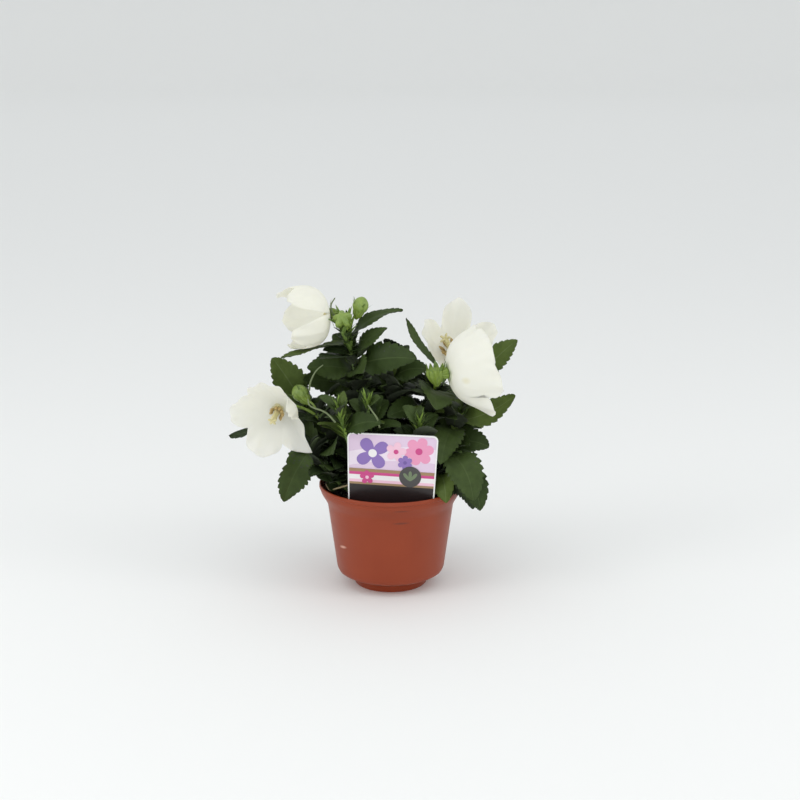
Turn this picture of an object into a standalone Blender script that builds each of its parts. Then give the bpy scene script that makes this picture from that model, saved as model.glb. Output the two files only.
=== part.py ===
"""Potted balloon flower: a dwarf, white, campanulate garden plant in a 12 cm plastic nursery pot.

Frame: metres, +Z up. The origin is the centre of the pot's flat underside, and -Y is the front,
where the plant label stands. Every piece is at its real size.

The plant is eighteen shoots from one crown. Each shoot has a bare stem, which stands on the soil,
and a leafy twig that carries on from it, with the stalks of its buds and blooms. The cups of the
four large blooms stand a hair clear of their calyces.
"""

import math
import random
from collections import namedtuple

import bmesh
import bpy
from mathutils import Matrix, Quaternion, Vector
from mathutils.bvhtree import BVHTree

PLANT = "potted balloon flower"

# Driving sizes of the pot, the soil and the label

POT_HEIGHT = 0.088
RIM_RADIUS = 0.0600
COLLAR_RADIUS = 0.0532
BASE_RADIUS = 0.0453
FOOT_RADIUS = 0.0306
FOOT_HEIGHT = 0.0052
POT_WALL = 0.0010
POT_STEPS = 32
LIP_ROUND = 0.0010
BASE_ROUND = 0.0082
DRAIN_COUNT = 6
DRAIN_RADIUS = 0.0030
DRAIN_CIRCLE = 0.0230
GAP = 0.0003
SOIL_TOP = 0.0760
SOIL_EDGE_DROP = 0.0020

CARD_WIDTH_TOP = 0.0735
CARD_WIDTH_FOOT = 0.0700
CARD_HEIGHT = 0.0640
CARD_CORNER = 0.0045
CARD_THICKNESS = 0.0005
CARD_FOOT = Vector((0.0005, -0.0410, 0.0780))
CARD_SHOULDER = 0.0036
CARD_LEAN = math.radians(4.0)
CARD_TURN = math.radians(-3.5)
CARD_ROLL = math.radians(1.8)
STAKE_WIDTH = 0.0140
STAKE_LENGTH = 0.0300

# Driving sizes of the plant

STEM_RADIUS = 0.0017
STEM_FLARE = 1.25
TWIG_RADIUS = 0.0010
STALK_RADIUS = 0.0009
TUBE_ROUNDNESS = 1
LEAF_THICKNESS = 0.0008
LEAF_ROWS = 4
LEAF_CROWDING = 1.3
LEAF_LENGTH = 0.0480
LEAF_BREADTH = 0.62
LEAF_FOLD = 0.14
LEAF_ARCH = 0.13
LEAF_ROOT = 0.20
LEAF_CLEARANCE = 0.0003
LOW_PITCH = -22.0
TOP_PITCH = 52.0
OUTWARD_ROLL = 48.0
GOLDEN_ANGLE = 137.5
PETALS = 5
PETAL_THICKNESS = 0.0006
SINUS_DEPTH = 0.29
CALYX_RADIUS = 0.0046
STYLE_LENGTH = 0.0170
STYLE_RADIUS = 0.0012
BUD_STRETCH = 1.08

CREASE_ANGLE = math.radians(40)
LEAF_GREEN = (0.045, 0.105, 0.030)
STEM_GREEN = (0.130, 0.230, 0.055)
PETAL_WHITE = (0.880, 0.870, 0.800)
TERRACOTTA = (0.420, 0.085, 0.035)
SOIL_BROWN = (0.030, 0.020, 0.014)
CARD_LILAC = (0.560, 0.440, 0.620)

# One shoot: where its stem stands on the soil, where its twig ends, the height above the soil at
# which the leaves begin, its number of rule-grown leaves, their size against LEAF_LENGTH at the
# bottom and at the tip, and the compass angle of its first leaf
Shoot = namedtuple("Shoot", "foot tip bare leaves size top_size turn")

SHOOTS = {
    "tall": Shoot((-0.012, 0.006), (-0.034, 0.002, 0.216), 0.046, 11, 1.00, 0.70, 20),
    "right_bloom": Shoot((0.013, -0.001), (0.038, -0.004, 0.172), 0.036, 9, 0.95, 0.70, 250),
    "left_bloom": Shoot((-0.020, -0.008), (-0.060, -0.012, 0.150), 0.024, 8, 0.95, 0.75, 200),
    "back_bloom": Shoot((0.014, 0.018), (0.048, 0.073, 0.166), 0.030, 9, 1.00, 0.75, 80),
    "front_left": Shoot((-0.013, -0.020), (-0.0416, -0.048, 0.164), 0.022, 9, 0.92, 0.36, 230),
    "front_middle": Shoot((-0.003, -0.014), (-0.0186, -0.038, 0.164), 0.032, 9, 0.88, 0.36, 300),
    "front_right": Shoot((0.010, -0.022), (0.0242, -0.038, 0.151), 0.020, 8, 0.92, 0.36, 280),
    "centre": Shoot((0.000, 0.003), (0.001, -0.005, 0.190), 0.048, 10, 0.98, 0.62, 330),
    "centre_back": Shoot((0.002, 0.016), (0.007, 0.026, 0.188), 0.044, 10, 1.00, 0.60, 60),
    "back_left": Shoot((-0.012, 0.018), (-0.036, 0.040, 0.182), 0.030, 10, 1.00, 0.60, 130),
    "left": Shoot((-0.022, 0.002), (-0.0735, 0.016, 0.151), 0.026, 8, 1.00, 0.70, 150),
    "right": Shoot((0.022, 0.000), (0.058, 0.002, 0.146), 0.022, 7, 1.04, 0.75, 10),
    "low_right": Shoot((0.022, -0.012), (0.050, -0.028, 0.122), 0.016, 6, 1.00, 0.85, 320),
    "far_right": Shoot((0.022, 0.012), (0.076, 0.024, 0.174), 0.028, 9, 0.98, 0.70, 40),
    "back": Shoot((0.002, 0.028), (-0.002, 0.060, 0.162), 0.022, 9, 1.02, 0.65, 95),
    "low_left": Shoot((-0.023, -0.014), (-0.067, -0.026, 0.123), 0.014, 6, 1.00, 0.85, 190),
    "low_back_left": Shoot((-0.020, 0.012), (-0.056, 0.036, 0.132), 0.016, 7, 1.02, 0.80, 140),
    "low_back_right": Shoot((0.020, 0.022), (0.070, 0.052, 0.132), 0.016, 7, 1.02, 0.80, 50),
}
STEM_BOW = 0.10

# Leaves that stand out of the crown: shoot, place along it, tip, width, arch and roll in degrees
SetLeaf = namedtuple("SetLeaf", "shoot place tip width arch roll")

SET_LEAVES = [
    SetLeaf("left", 0.98, (-0.0985, 0.012, 0.1917), 0.031, 0.02, -80),
    SetLeaf("low_left", 0.98, (-0.0872, -0.034, 0.0807), 0.031, 0.06, -70),
    SetLeaf("left_bloom", 0.80, (-0.1334, -0.014, 0.1314), 0.018, 0.04, -25),
    SetLeaf("tall", 0.96, (0.0104, 0.002, 0.2338), 0.016, 0.14, 25),
    SetLeaf("tall", 0.88, (-0.0023, -0.008, 0.2212), 0.018, 0.05, 45),
    SetLeaf("tall", 0.82, (0.0217, -0.022, 0.1985), 0.030, 0.06, 58),
    SetLeaf("right_bloom", 0.99, (0.0129, 0.002, 0.2276), 0.015, -0.06, -35),
    SetLeaf("far_right", 0.97, (0.1066, 0.024, 0.2044), 0.023, 0.05, 60),
    SetLeaf("right", 0.93, (0.1035, 0.000, 0.1630), 0.025, -0.08, 50),
    SetLeaf("right", 0.64, (0.0818, -0.012, 0.1214), 0.027, 0.14, 50),
    SetLeaf("low_right", 0.80, (0.0738, -0.040, 0.0752), 0.029, 0.18, 45),
    SetLeaf("low_right", 0.97, (0.0671, -0.056, 0.0891), 0.031, 0.18, 30),
    SetLeaf("right", 0.86, (0.0411, -0.048, 0.1174), 0.027, 0.16, -20),
    SetLeaf("right_bloom", 0.96, (0.0369, -0.042, 0.1610), 0.036, 0.16, 0),
    SetLeaf("tall", 0.95, (-0.0895, -0.010, 0.1966), 0.022, 0.02, -14),
    SetLeaf("tall", 0.80, (-0.0686, -0.005, 0.1870), 0.024, 0.05, -60),
    SetLeaf("back_left", 0.82, (-0.0732, 0.013, 0.1734), 0.026, 0.05, -60),
    SetLeaf("low_left", 0.75, (-0.0486, -0.048, 0.1120), 0.028, 0.14, -30),
]

# How far the crown reaches to the left and to the right at each height, as it is seen from the
# front: from EYE, in the plane through the pot's axis
CrownReach = namedtuple("CrownReach", "height left right")

EYE = Vector((0.008, -1.25, 0.475))
CROWN = [
    CrownReach(0.216, -0.050, 0.002),
    CrownReach(0.205, -0.050, 0.020),
    CrownReach(0.191, -0.070, 0.022),
    CrownReach(0.182, -0.074, 0.036),
    CrownReach(0.170, -0.082, 0.056),
    CrownReach(0.150, -0.085, 0.088),
    CrownReach(0.131, -0.085, 0.074),
    CrownReach(0.120, -0.085, 0.079),
    CrownReach(0.104, -0.088, 0.073),
    CrownReach(0.093, -0.074, 0.070),
    CrownReach(0.085, -0.050, 0.070),
    CrownReach(0.074, 0.035, 0.073),
]

# Round buds on short stalks: shoot, place on it, centre and radius
Bud = namedtuple("Bud", "shoot place centre radius")

BUDS = [
    Bud("tall", 0.97, (-0.0244, 0.002, 0.2379), 0.0066),
    Bud("tall", 0.99, (-0.0391, -0.012, 0.2303), 0.0068),
    Bud("right_bloom", 0.97, (0.0345, 0.008, 0.1759), 0.0060),
    Bud("left_bloom", 0.98, (-0.0748, 0.001, 0.1640), 0.0070),
    Bud("back", 0.98, (0.0030, 0.062, 0.1850), 0.0060),
    Bud("back_left", 0.98, (-0.0344, 0.058, 0.1804), 0.0055),
]

# Open blooms: shoot, place on it, base of the cup, the way its mouth faces, radius at its tips,
# radius at its waist, depth, and turn about its axis
Bloom = namedtuple("Bloom", "shoot place base facing radius waist depth turn")

BLOOMS = {
    "bloom_upper_left": Bloom(
        "tall", 0.92, (-0.0500, 0.004, 0.2305), (-0.975, -0.21, -0.08), 0.0230, 0.0280, 0.0362, 49
    ),
    "bloom_left": Bloom(
        "left_bloom", 0.93, (-0.0920, -0.012, 0.1540), (-0.21, -0.93, -0.30), 0.0374, 0.0220, 0.0206, 27
    ),
    "bloom_upper_right": Bloom(
        "back_bloom", 0.98, (0.0545, 0.074, 0.1815), (0.13, -0.785, 0.605), 0.0330, 0.0220, 0.0355, 13
    ),
    "bloom_right": Bloom(
        "right_bloom", 0.88, (0.0472, -0.026, 0.1880), (0.955, 0.255, 0.11), 0.0358, 0.0290, 0.0326, 57
    ),
}


# The scene

def clear_scene():
    for obj in list(bpy.data.objects):
        bpy.data.objects.remove(obj)


def new_collection(name, hidden=False):
    collection = bpy.data.collections.new(name)
    bpy.context.scene.collection.children.link(collection)
    collection.hide_render = hidden
    return collection


def material(name, color, roughness, metallic=0.0):
    made = bpy.data.materials.new(name)
    made.use_nodes = True
    shader = made.node_tree.nodes["Principled BSDF"]
    shader.inputs["Base Color"].default_value = (*color, 1.0)
    shader.inputs["Roughness"].default_value = roughness
    shader.inputs["Metallic"].default_value = metallic
    return made


def add_object(name, data, collection, finish=None):
    obj = bpy.data.objects.new(name, data)
    collection.objects.link(obj)
    if finish:
        data.materials.append(finish)
    return obj


def mesh_from(bm, name):
    bmesh.ops.recalc_face_normals(bm, faces=bm.faces)
    mesh = bpy.data.meshes.new(name)
    bm.to_mesh(mesh)
    bm.free()
    return mesh


def shade_round(mesh):
    """Smooth shading, but for the creases."""
    mesh.shade_smooth()
    mesh.set_sharp_from_angle(angle=CREASE_ANGLE)


def evaluated_mesh(obj):
    graph = bpy.context.evaluated_depsgraph_get()
    return bpy.data.meshes.new_from_object(obj.evaluated_get(graph))


def add_boolean(obj, operation, other):
    cut = obj.modifiers.new(operation.lower(), "BOOLEAN")
    cut.operation = operation
    cut.solver = "EXACT"
    if isinstance(other, bpy.types.Collection):
        cut.operand_type = "COLLECTION"
        cut.collection = other
    else:
        cut.object = other
    return cut


# The pot and the soil are turned shapes

def arc(centre, radius, start, end, steps):
    """Points of an arc in the plane, from one angle to the other, in degrees."""
    angles = [math.radians(start + (end - start) * i / steps) for i in range(steps + 1)]
    return [(centre[0] + radius * math.cos(a), centre[1] + radius * math.sin(a)) for a in angles]


def pot_outline():
    """The outside of the pot as (radius, height), from the lip's top down to the axis."""
    lip = arc((RIM_RADIUS - LIP_ROUND, POT_HEIGHT - LIP_ROUND), LIP_ROUND, 90, 0, 2)
    lip += [(RIM_RADIUS, POT_HEIGHT - 0.0030), (RIM_RADIUS - 0.0009, POT_HEIGHT - 0.0036)]
    collar = [
        (RIM_RADIUS - 0.0015, POT_HEIGHT - 0.0070),
        (RIM_RADIUS - 0.0034, POT_HEIGHT - 0.0105),
        (COLLAR_RADIUS + 0.0006, POT_HEIGHT - 0.0155),
        (COLLAR_RADIUS - 0.0004, POT_HEIGHT - 0.0185),
    ]
    corner = arc((BASE_RADIUS - BASE_ROUND, FOOT_HEIGHT + BASE_ROUND), BASE_ROUND, 0, -90, 4)
    foot = [(FOOT_RADIUS + 0.0006, FOOT_HEIGHT), (FOOT_RADIUS, 0.0008), (FOOT_RADIUS - 0.0008, 0.0)]
    return [*lip, *collar, *corner, *foot, (0.0, 0.0)]


def inset(outline, distance):
    """The outline moved towards the axis and upwards, square to each of its runs."""
    moved = []
    for i, (radius, height) in enumerate(outline):
        before = outline[max(i - 1, 0)]
        after = outline[min(i + 1, len(outline) - 1)]
        run = Vector((after[0] - before[0], after[1] - before[1])).normalized()
        moved.append((max(radius + run.y * distance, 0.0), height - run.x * distance))
    return moved


def turned(name, outline, collection, finish):
    """A surface turned round Z from a profile of (radius, height), listed down its outer side."""
    bm = bmesh.new()
    points = [bm.verts.new((radius, 0.0, height)) for radius, height in outline]
    for first, second in zip(points, points[1:]):
        bm.edges.new((first, second))
    mesh = bpy.data.meshes.new(name)
    bm.to_mesh(mesh)
    bm.free()
    obj = add_object(name, mesh, collection, finish)
    screw = obj.modifiers.new("turn", "SCREW")
    screw.axis = "Z"
    screw.steps = POT_STEPS
    screw.render_steps = POT_STEPS
    screw.use_merge_vertices = True
    screw.merge_threshold = 0.00001
    return obj


def drain_cutters(collection):
    for i in range(DRAIN_COUNT):
        angle = 2 * math.pi * (i + 0.5) / DRAIN_COUNT
        bm = bmesh.new()
        bmesh.ops.create_cone(
            bm, cap_ends=True, segments=8, radius1=DRAIN_RADIUS, radius2=DRAIN_RADIUS, depth=0.010
        )
        cutter = add_object(f"drain_cutter_{i}", mesh_from(bm, "drain_cutter"), collection)
        cutter.location = (DRAIN_CIRCLE * math.cos(angle), DRAIN_CIRCLE * math.sin(angle), 0.0)
        cutter.hide_render = True
        cutter.display_type = "WIRE"


def make_pot(collection, finish):
    pot = turned("pot", pot_outline(), collection, finish)
    shell = pot.modifiers.new("wall", "SOLIDIFY")
    shell.thickness = POT_WALL
    shell.offset = -1.0
    drains = new_collection("drain cutters", hidden=True)
    drain_cutters(drains)
    add_boolean(pot, "DIFFERENCE", drains)
    return pot


def make_soil(collection, finish):
    brink = SOIL_TOP - SOIL_EDGE_DROP
    side = [p for p in inset(pot_outline(), POT_WALL + GAP) if FOOT_HEIGHT < p[1] < brink]
    top = [(0.0, SOIL_TOP), (side[0][0] - 2 * SOIL_EDGE_DROP, SOIL_TOP), (side[0][0], brink)]
    floor = POT_WALL + GAP
    bottom = [(FOOT_RADIUS - 2 * floor, floor), (0.0, floor)]
    return turned("soil", [*top, *side, *bottom], collection, finish)


# The label is a flat card on a stake

def card_matrix():
    turn = Matrix.Rotation(CARD_TURN, 4, "Z")
    lean = Matrix.Rotation(math.radians(90) + CARD_LEAN, 4, "X")
    roll = Matrix.Rotation(-CARD_ROLL, 4, "Z")
    return Matrix.Translation(CARD_FOOT) @ turn @ lean @ roll


def card_outline():
    """The card and its stake, in the card's own plane, with the foot of the card at height 0."""
    half_top = CARD_WIDTH_TOP / 2
    stake = STAKE_WIDTH / 2
    edge = [(stake, stake - STAKE_LENGTH), (stake, 0.0), (CARD_WIDTH_FOOT / 2, CARD_SHOULDER)]
    edge += arc((half_top - CARD_CORNER, CARD_HEIGHT - CARD_CORNER), CARD_CORNER, 0, 90, 3)
    return [(0.0, -STAKE_LENGTH), *edge, *[(-x, y) for x, y in reversed(edge)]]


def flat_plate(name, outline, thickness, collection, finish):
    curve = bpy.data.curves.new(name, "CURVE")
    curve.dimensions = "2D"
    curve.fill_mode = "BOTH"
    curve.extrude = thickness / 2
    line = curve.splines.new("POLY")
    line.points.add(len(outline) - 1)
    for point, (x, y) in zip(line.points, outline):
        point.co = (x, y, 0.0, 1.0)
    line.use_cyclic_u = True
    return add_object(name, curve, collection, finish)


def make_label(collection, finish):
    label = flat_plate("label", card_outline(), CARD_THICKNESS, collection, finish)
    label.matrix_world = card_matrix()
    return label


def cut_label_slot(soil):
    """The slot that the stake has pushed in the soil, with a gap all round it."""
    cutters = new_collection("slot cutter", hidden=True)
    bm = bmesh.new()
    bmesh.ops.create_cube(bm, size=1.0)
    depth = STAKE_LENGTH + GAP
    size = (STAKE_WIDTH + 2 * GAP, 2 * depth, CARD_THICKNESS + 2 * GAP)
    bmesh.ops.scale(bm, vec=size, verts=bm.verts)
    cutter = add_object("slot_cutter", mesh_from(bm, "slot_cutter"), cutters)
    cutter.matrix_world = card_matrix()
    cutter.hide_render = True
    cutter.display_type = "WIRE"
    add_boolean(soil, "DIFFERENCE", cutter)


# Stems, twigs and stalks are tapering tubes

def bezier(start, middle, end, share):
    """A point on the quadratic curve through start and end, drawn towards middle."""
    back = 1.0 - share
    return start * back * back + middle * 2.0 * back * share + end * share * share


def shoot_point(shoot, share):
    """A point on a shoot's centre line, from its foot on the soil at 0 to its tip at 1."""
    foot = Vector((*shoot.foot, SOIL_TOP + GAP))
    tip = Vector(shoot.tip)
    rise = tip - foot
    middle = foot + Vector((rise.x, rise.y, 0.0)) * (0.5 + STEM_BOW)
    middle.z += rise.z * (0.5 - STEM_BOW)
    return bezier(foot, middle, tip, share)


def bare_share(shoot):
    """How far up the shoot its bare stem reaches."""
    return shoot.bare / (shoot.tip[2] - SOIL_TOP)


def shoot_radius(share):
    return STEM_RADIUS + (TWIG_RADIUS - STEM_RADIUS) * share


def tube(name, points, radii, collection):
    curve = bpy.data.curves.new(name, "CURVE")
    curve.dimensions = "3D"
    curve.bevel_depth = 1.0
    curve.bevel_resolution = TUBE_ROUNDNESS
    curve.use_fill_caps = True
    line = curve.splines.new("POLY")
    line.points.add(len(points) - 1)
    for point, place, radius in zip(line.points, points, radii):
        point.co = (*place, 1.0)
        point.radius = radius
    return add_object(name, curve, collection)


def as_mesh(curve_object, collection):
    """The tube as a closed mesh object, for a Boolean."""
    mesh = evaluated_mesh(curve_object)
    bm = bmesh.new()
    bm.from_mesh(mesh)
    bmesh.ops.remove_doubles(bm, verts=bm.verts, dist=0.00001)
    bmesh.ops.recalc_face_normals(bm, faces=bm.faces)
    bm.to_mesh(mesh)
    bm.free()
    name, place = curve_object.name, curve_object.matrix_world.copy()
    bpy.data.objects.remove(curve_object)
    made = add_object(name, mesh, collection)
    made.matrix_world = place
    return made


def shoot_run(shoot, start, end, steps):
    shares = [start + (end - start) * i / steps for i in range(steps + 1)]
    return [shoot_point(shoot, s) for s in shares], [shoot_radius(s) for s in shares]


def make_stem(name, shoot, collection, finish):
    """The bare stem, a little flared at its foot, which is cut flat along the soil."""
    points, radii = shoot_run(shoot, 0.0, bare_share(shoot), 4)
    radii[0] *= STEM_FLARE
    stem = as_mesh(tube(f"stem_{name}", points, radii, collection), collection)
    stem.data.materials.append(finish)
    for vert in stem.data.vertices:
        if vert.co.z < points[0].z + radii[0]:
            vert.co.z = points[0].z
    shade_round(stem.data)
    return stem


def twig_start(shoot):
    rise = shoot_point(shoot, 1.0) - shoot_point(shoot, 0.0)
    return bare_share(shoot) + GAP / rise.length


def stalk_points(start, end, steps):
    """A stalk that leaves its twig upwards and bends over to where it ends."""
    middle = Vector((start.x, start.y, end.z)).lerp(end, 0.25)
    return [bezier(start, middle, end, i / steps) for i in range(steps + 1)]


# Leaves are ovate blades, folded a little along the midrib, each from a twig's centre to its tip

Leaf = namedtuple("Leaf", "base tip width arch roll")


def leaf_breadth(s):
    """Half the blade's width at s of its length, against half its greatest width."""
    if s >= 1:
        return 0.03
    return 0.04 + 0.96 * math.sin(math.pi * s**0.80) ** 0.68


def leaf_point(leaf, s, t):
    """The blade's surface at s of its length and t of its half width, and the way it faces."""
    line = leaf.tip - leaf.base
    heading = math.atan2(line.y, line.x)
    side = Vector((-math.sin(heading), math.cos(heading), 0.0))
    lift = line.normalized().cross(side)
    middle = (leaf.base + leaf.tip) / 2 + lift * leaf.arch * line.length * 2
    ahead = ((middle - leaf.base) * (1 - s) + (leaf.tip - middle) * s).normalized()
    side = Quaternion(ahead, math.radians(leaf.roll) * min(1.0, 3 * s)) @ side
    facing = ahead.cross(side)
    half = leaf.width / 2 * leaf_breadth(s)
    place = bezier(leaf.base, middle, leaf.tip, s) + side * t * half
    return place + facing * abs(t) * half * LEAF_FOLD * min(1.0, 4 * s), facing


def leaf_side(bm, leaf, rise, edge=0.0, first=0.0):
    """One side of the blade, raised by rise along its midrib and by edge along its border.

    Its rows crowd towards the tip, which is blunt.
    """
    made = bmesh.ops.create_grid(bm, x_segments=2, y_segments=LEAF_ROWS, size=1.0)
    for vert in made["verts"]:
        back = (1 - vert.co.y) / 2
        s = first + (1.0 - first) * (1.0 - back**LEAF_CROWDING)
        place, facing = leaf_point(leaf, s, vert.co.x)
        inner = (1.0 - abs(vert.co.x)) * (s < 1.0)
        vert.co = place + facing * (edge + (rise - edge) * inner)


def leaf_blade(leaf):
    """The closed blade: two sides that meet along its edge, and are thickest at the midrib."""
    bm = bmesh.new()
    leaf_side(bm, leaf, LEAF_THICKNESS / 2)
    leaf_side(bm, leaf, -LEAF_THICKNESS / 2)
    bmesh.ops.remove_doubles(bm, verts=bm.verts, dist=0.000001)
    bmesh.ops.triangulate(bm, faces=bm.faces, quad_method="FIXED")
    bmesh.ops.holes_fill(bm, edges=bm.edges)
    return bm


def leaf_space(leaf, first=0.0):
    """The space that the blade takes up with its clearance, from first of its length."""
    bm = bmesh.new()
    reach = LEAF_THICKNESS / 2 + LEAF_CLEARANCE
    broad = leaf._replace(width=leaf.width + 2 * LEAF_CLEARANCE)
    leaf_side(bm, broad, reach, reach, first)
    leaf_side(bm, broad, -reach, -reach, first)
    bmesh.ops.triangulate(bm, faces=bm.faces, quad_method="FIXED")
    borders = [edge for edge in bm.edges if edge.is_boundary]
    bmesh.ops.bridge_loops(bm, edges=borders)
    return bm


# A leaf is let in only where it stays clear of the pot, the label and the rest of the plant

Solid = namedtuple("Solid", "tree low high")


def solid_of(bm):
    """A bmesh's faces, ready to be tested against others', with the box round them."""
    low = [min(v.co[i] for v in bm.verts) for i in range(3)]
    high = [max(v.co[i] for v in bm.verts) for i in range(3)]
    solid = Solid(BVHTree.FromBMesh(bm), low, high)
    bm.free()
    return solid


def touch(first, second):
    for i in range(3):
        if first.high[i] < second.low[i] or first.low[i] > second.high[i]:
            return False
    return bool(first.tree.overlap(second.tree))


class Room:
    """What has been placed: its owner, the whole of it, and what of it stands off its own twig."""

    def __init__(self):
        self.held = []

    def add_object(self, owner, obj):
        mesh = evaluated_mesh(obj)
        bm = bmesh.new()
        bm.from_mesh(mesh)
        bpy.data.meshes.remove(mesh)
        bm.transform(obj.matrix_world)
        solid = solid_of(bm)
        self.held.append((owner, solid, solid))

    def let_in(self, owner, leaf):
        """Adds a leaf that clears others' pieces, and whose outer part clears its own twig's."""
        whole = solid_of(leaf_space(leaf))
        outer = solid_of(leaf_space(leaf, LEAF_ROOT))
        for holder, other, own in self.held:
            if touch(outer, own) if holder == owner else touch(whole, other):
                return False
        self.held.append((owner, whole, outer))
        return True


# The rule by which a shoot carries its leaves: one at each turn of the golden angle, hanging a
# little at the bottom and rising towards the tip, where they are smaller. Where a leaf has no
# room, it swings, lifts or shrinks by the next of these (degrees, degrees, share of its length).

WAYS = [(0, 0, 1.0), (14, 8, 1.0), (-14, 8, 1.0), (28, -8, 1.0), (-28, -8, 1.0), (8, 24, 0.96)]
WAYS += [(-8, -20, 0.96), (44, 4, 0.92), (-44, 4, 0.92), (20, 32, 0.86), (-20, -26, 0.86)]
WAYS += [(64, 10, 0.86), (-64, 10, 0.86), (84, -6, 0.8), (-84, -6, 0.8), (0, 40, 0.72)]
WAYS += [(36, -20, 0.72), (-36, 26, 0.72), (110, 6, 0.72), (-110, 16, 0.72), (150, 30, 0.62)]
WAYS += [(-60, 40, 0.56), (60, 46, 0.56), (0, -34, 0.56), (180, 36, 0.5)]


def leaf_towards(base, turn, pitch, length, roll):
    turn, pitch = math.radians(turn), math.radians(pitch)
    level = math.cos(pitch)
    ahead = Vector((math.cos(turn) * level, math.sin(turn) * level, math.sin(pitch)))
    return Leaf(base, base + ahead * length, length * LEAF_BREADTH, LEAF_ARCH, roll)


def in_crown(leaf):
    """Whether the leaf stays inside the crown's outline, as it is seen from the front."""
    for s, t in ((1.0, 0), (0.6, -1), (0.6, 1)):
        place = leaf_point(leaf, s, t)[0]
        seen = EYE + (place - EYE) * (EYE.y / (EYE.y - place.y))
        above = [reach for reach in CROWN if reach.height >= seen.z]
        below = [reach for reach in CROWN if reach.height < seen.z]
        if not above or not below:
            return False
        up, down = above[-1], below[0]
        share = (seen.z - down.height) / (up.height - down.height)
        left = down.left + (up.left - down.left) * share
        right = down.right + (up.right - down.right) * share
        if not left < seen.x < right:
            return False
    return True


def rule_leaves(name, shoot):
    """For each leaf of the shoot's rule, from the lowest up, the ways in which it may be set."""
    chance = random.Random(name)
    start = twig_start(shoot)
    for i in range(shoot.leaves):
        height = (i + 0.5) / shoot.leaves
        base = shoot_point(shoot, start + (1 - start) * (0.04 + 0.94 * height))
        turn = shoot.turn + GOLDEN_ANGLE * i + chance.uniform(-12, 12)
        pitch = LOW_PITCH + (TOP_PITCH - LOW_PITCH) * height**1.5 + chance.uniform(-10, 10)
        size = shoot.size + (shoot.top_size - shoot.size) * height**1.8
        length = LEAF_LENGTH * size * chance.uniform(0.92, 1.1)
        roll = OUTWARD_ROLL * math.sin(math.radians(turn) - math.atan2(base.y, base.x))
        roll += chance.uniform(-18, 18)
        ways = [
            leaf_towards(base, turn + swing, pitch + lift, length * share, roll)
            for swing, lift, share in WAYS
        ]
        yield [way for way in ways if in_crown(way)]


def set_leaf_ways(leaf):
    """The ways in which a leaf that stands out of the crown may be set: rolled more or less."""
    base = shoot_point(SHOOTS[leaf.shoot], leaf.place)
    for more in (0, 15, -15, 30, -30, 50, -50):
        yield Leaf(base, Vector(leaf.tip), leaf.width, leaf.arch, leaf.roll + more)


def grow_leaves(room, collection):
    """Lets the leaves in, and gives each shoot's as a list of mesh objects."""
    waiting = [(leaf.shoot, set_leaf_ways(leaf)) for leaf in SET_LEAVES]
    waiting += [(name, ways) for name, shoot in SHOOTS.items() for ways in rule_leaves(name, shoot)]
    grown = {name: [] for name in SHOOTS}
    for name, ways in waiting:
        leaf = next((way for way in ways if room.let_in(name, way)), None)
        if leaf:
            blade = mesh_from(leaf_blade(leaf), "leaf")
            grown[name].append(add_object("leaf", blade, collection))
    return grown


# Buds are closed balloons, and blooms five-lobed cups, each at the end of its stalk

def ball(name, centre, radius, ahead, collection, stretch=1.0):
    """A ball with its long axis along ahead."""
    bm = bmesh.new()
    bmesh.ops.create_uvsphere(bm, u_segments=8, v_segments=6, radius=radius)
    bmesh.ops.scale(bm, vec=(1.0, 1.0, stretch), verts=bm.verts)
    turn = ahead.to_track_quat("Z", "Y").to_matrix().to_4x4()
    bm.transform(Matrix.Translation(centre) @ turn)
    return add_object(name, mesh_from(bm, name), collection)


def stalk(start, end, collection):
    points = stalk_points(start, end, 4)
    made = tube("stalk", points, [STALK_RADIUS] * len(points), collection)
    return as_mesh(made, collection)


def make_bud(bud, collection):
    """The bud and its stalk, which starts inside the twig."""
    start = shoot_point(SHOOTS[bud.shoot], bud.place)
    centre = Vector(bud.centre)
    ahead = (centre - start).normalized()
    return [
        stalk(start, centre, collection),
        ball("bud", centre, bud.radius, ahead, collection, stretch=BUD_STRETCH),
    ]


def cup_profile(bloom, reach):
    """How far out from its axis, and along it, the cup's wall lies at reach of the way to a tip."""
    back = 1.0 - reach
    bottom = Vector((bloom.waist, 0.0)) * 3 * back * back * reach
    side = Vector((bloom.waist, bloom.depth * 0.55)) * 3 * back * reach * reach
    return bottom + side + Vector((bloom.radius, bloom.depth)) * reach**3


def petal_point(bloom, angle, share):
    """The cup's surface, in its own frame: at 0 its pole, at 1 its lobed edge."""
    turns = angle / (2 * math.pi) * PETALS
    aside = 2 * abs(turns - round(turns))
    notch = SINUS_DEPTH * (0.25 * aside + 0.75 * aside**3)
    out, along = cup_profile(bloom, share * (1.0 - notch))
    return Vector((out * math.cos(angle), out * math.sin(angle), along))


def bloom_frame(bloom):
    turn = Vector(bloom.facing).to_track_quat("Z", "Y").to_matrix().to_4x4()
    spin = Matrix.Rotation(math.radians(bloom.turn), 4, "Z")
    return Matrix.Translation(bloom.base) @ turn @ spin


def make_cup(bloom, collection):
    """A grid wrapped round the bloom's axis, its bottom row drawn together at the pole."""
    bm = bmesh.new()
    bmesh.ops.create_grid(bm, x_segments=4 * PETALS, y_segments=4, size=1.0)
    for vert in bm.verts:
        vert.co = petal_point(bloom, math.pi * (vert.co.x + 1), (vert.co.y + 1) / 2)
    bmesh.ops.remove_doubles(bm, verts=bm.verts, dist=0.00001)
    bmesh.ops.recalc_face_normals(bm, faces=bm.faces)
    bmesh.ops.solidify(bm, geom=bm.faces, thickness=PETAL_THICKNESS)
    low = min(vert.co.z for vert in bm.verts)
    bm.transform(bloom_frame(bloom) @ Matrix.Translation((0.0, 0.0, -low)))
    return add_object("cup", mesh_from(bm, "cup"), collection)


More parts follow.
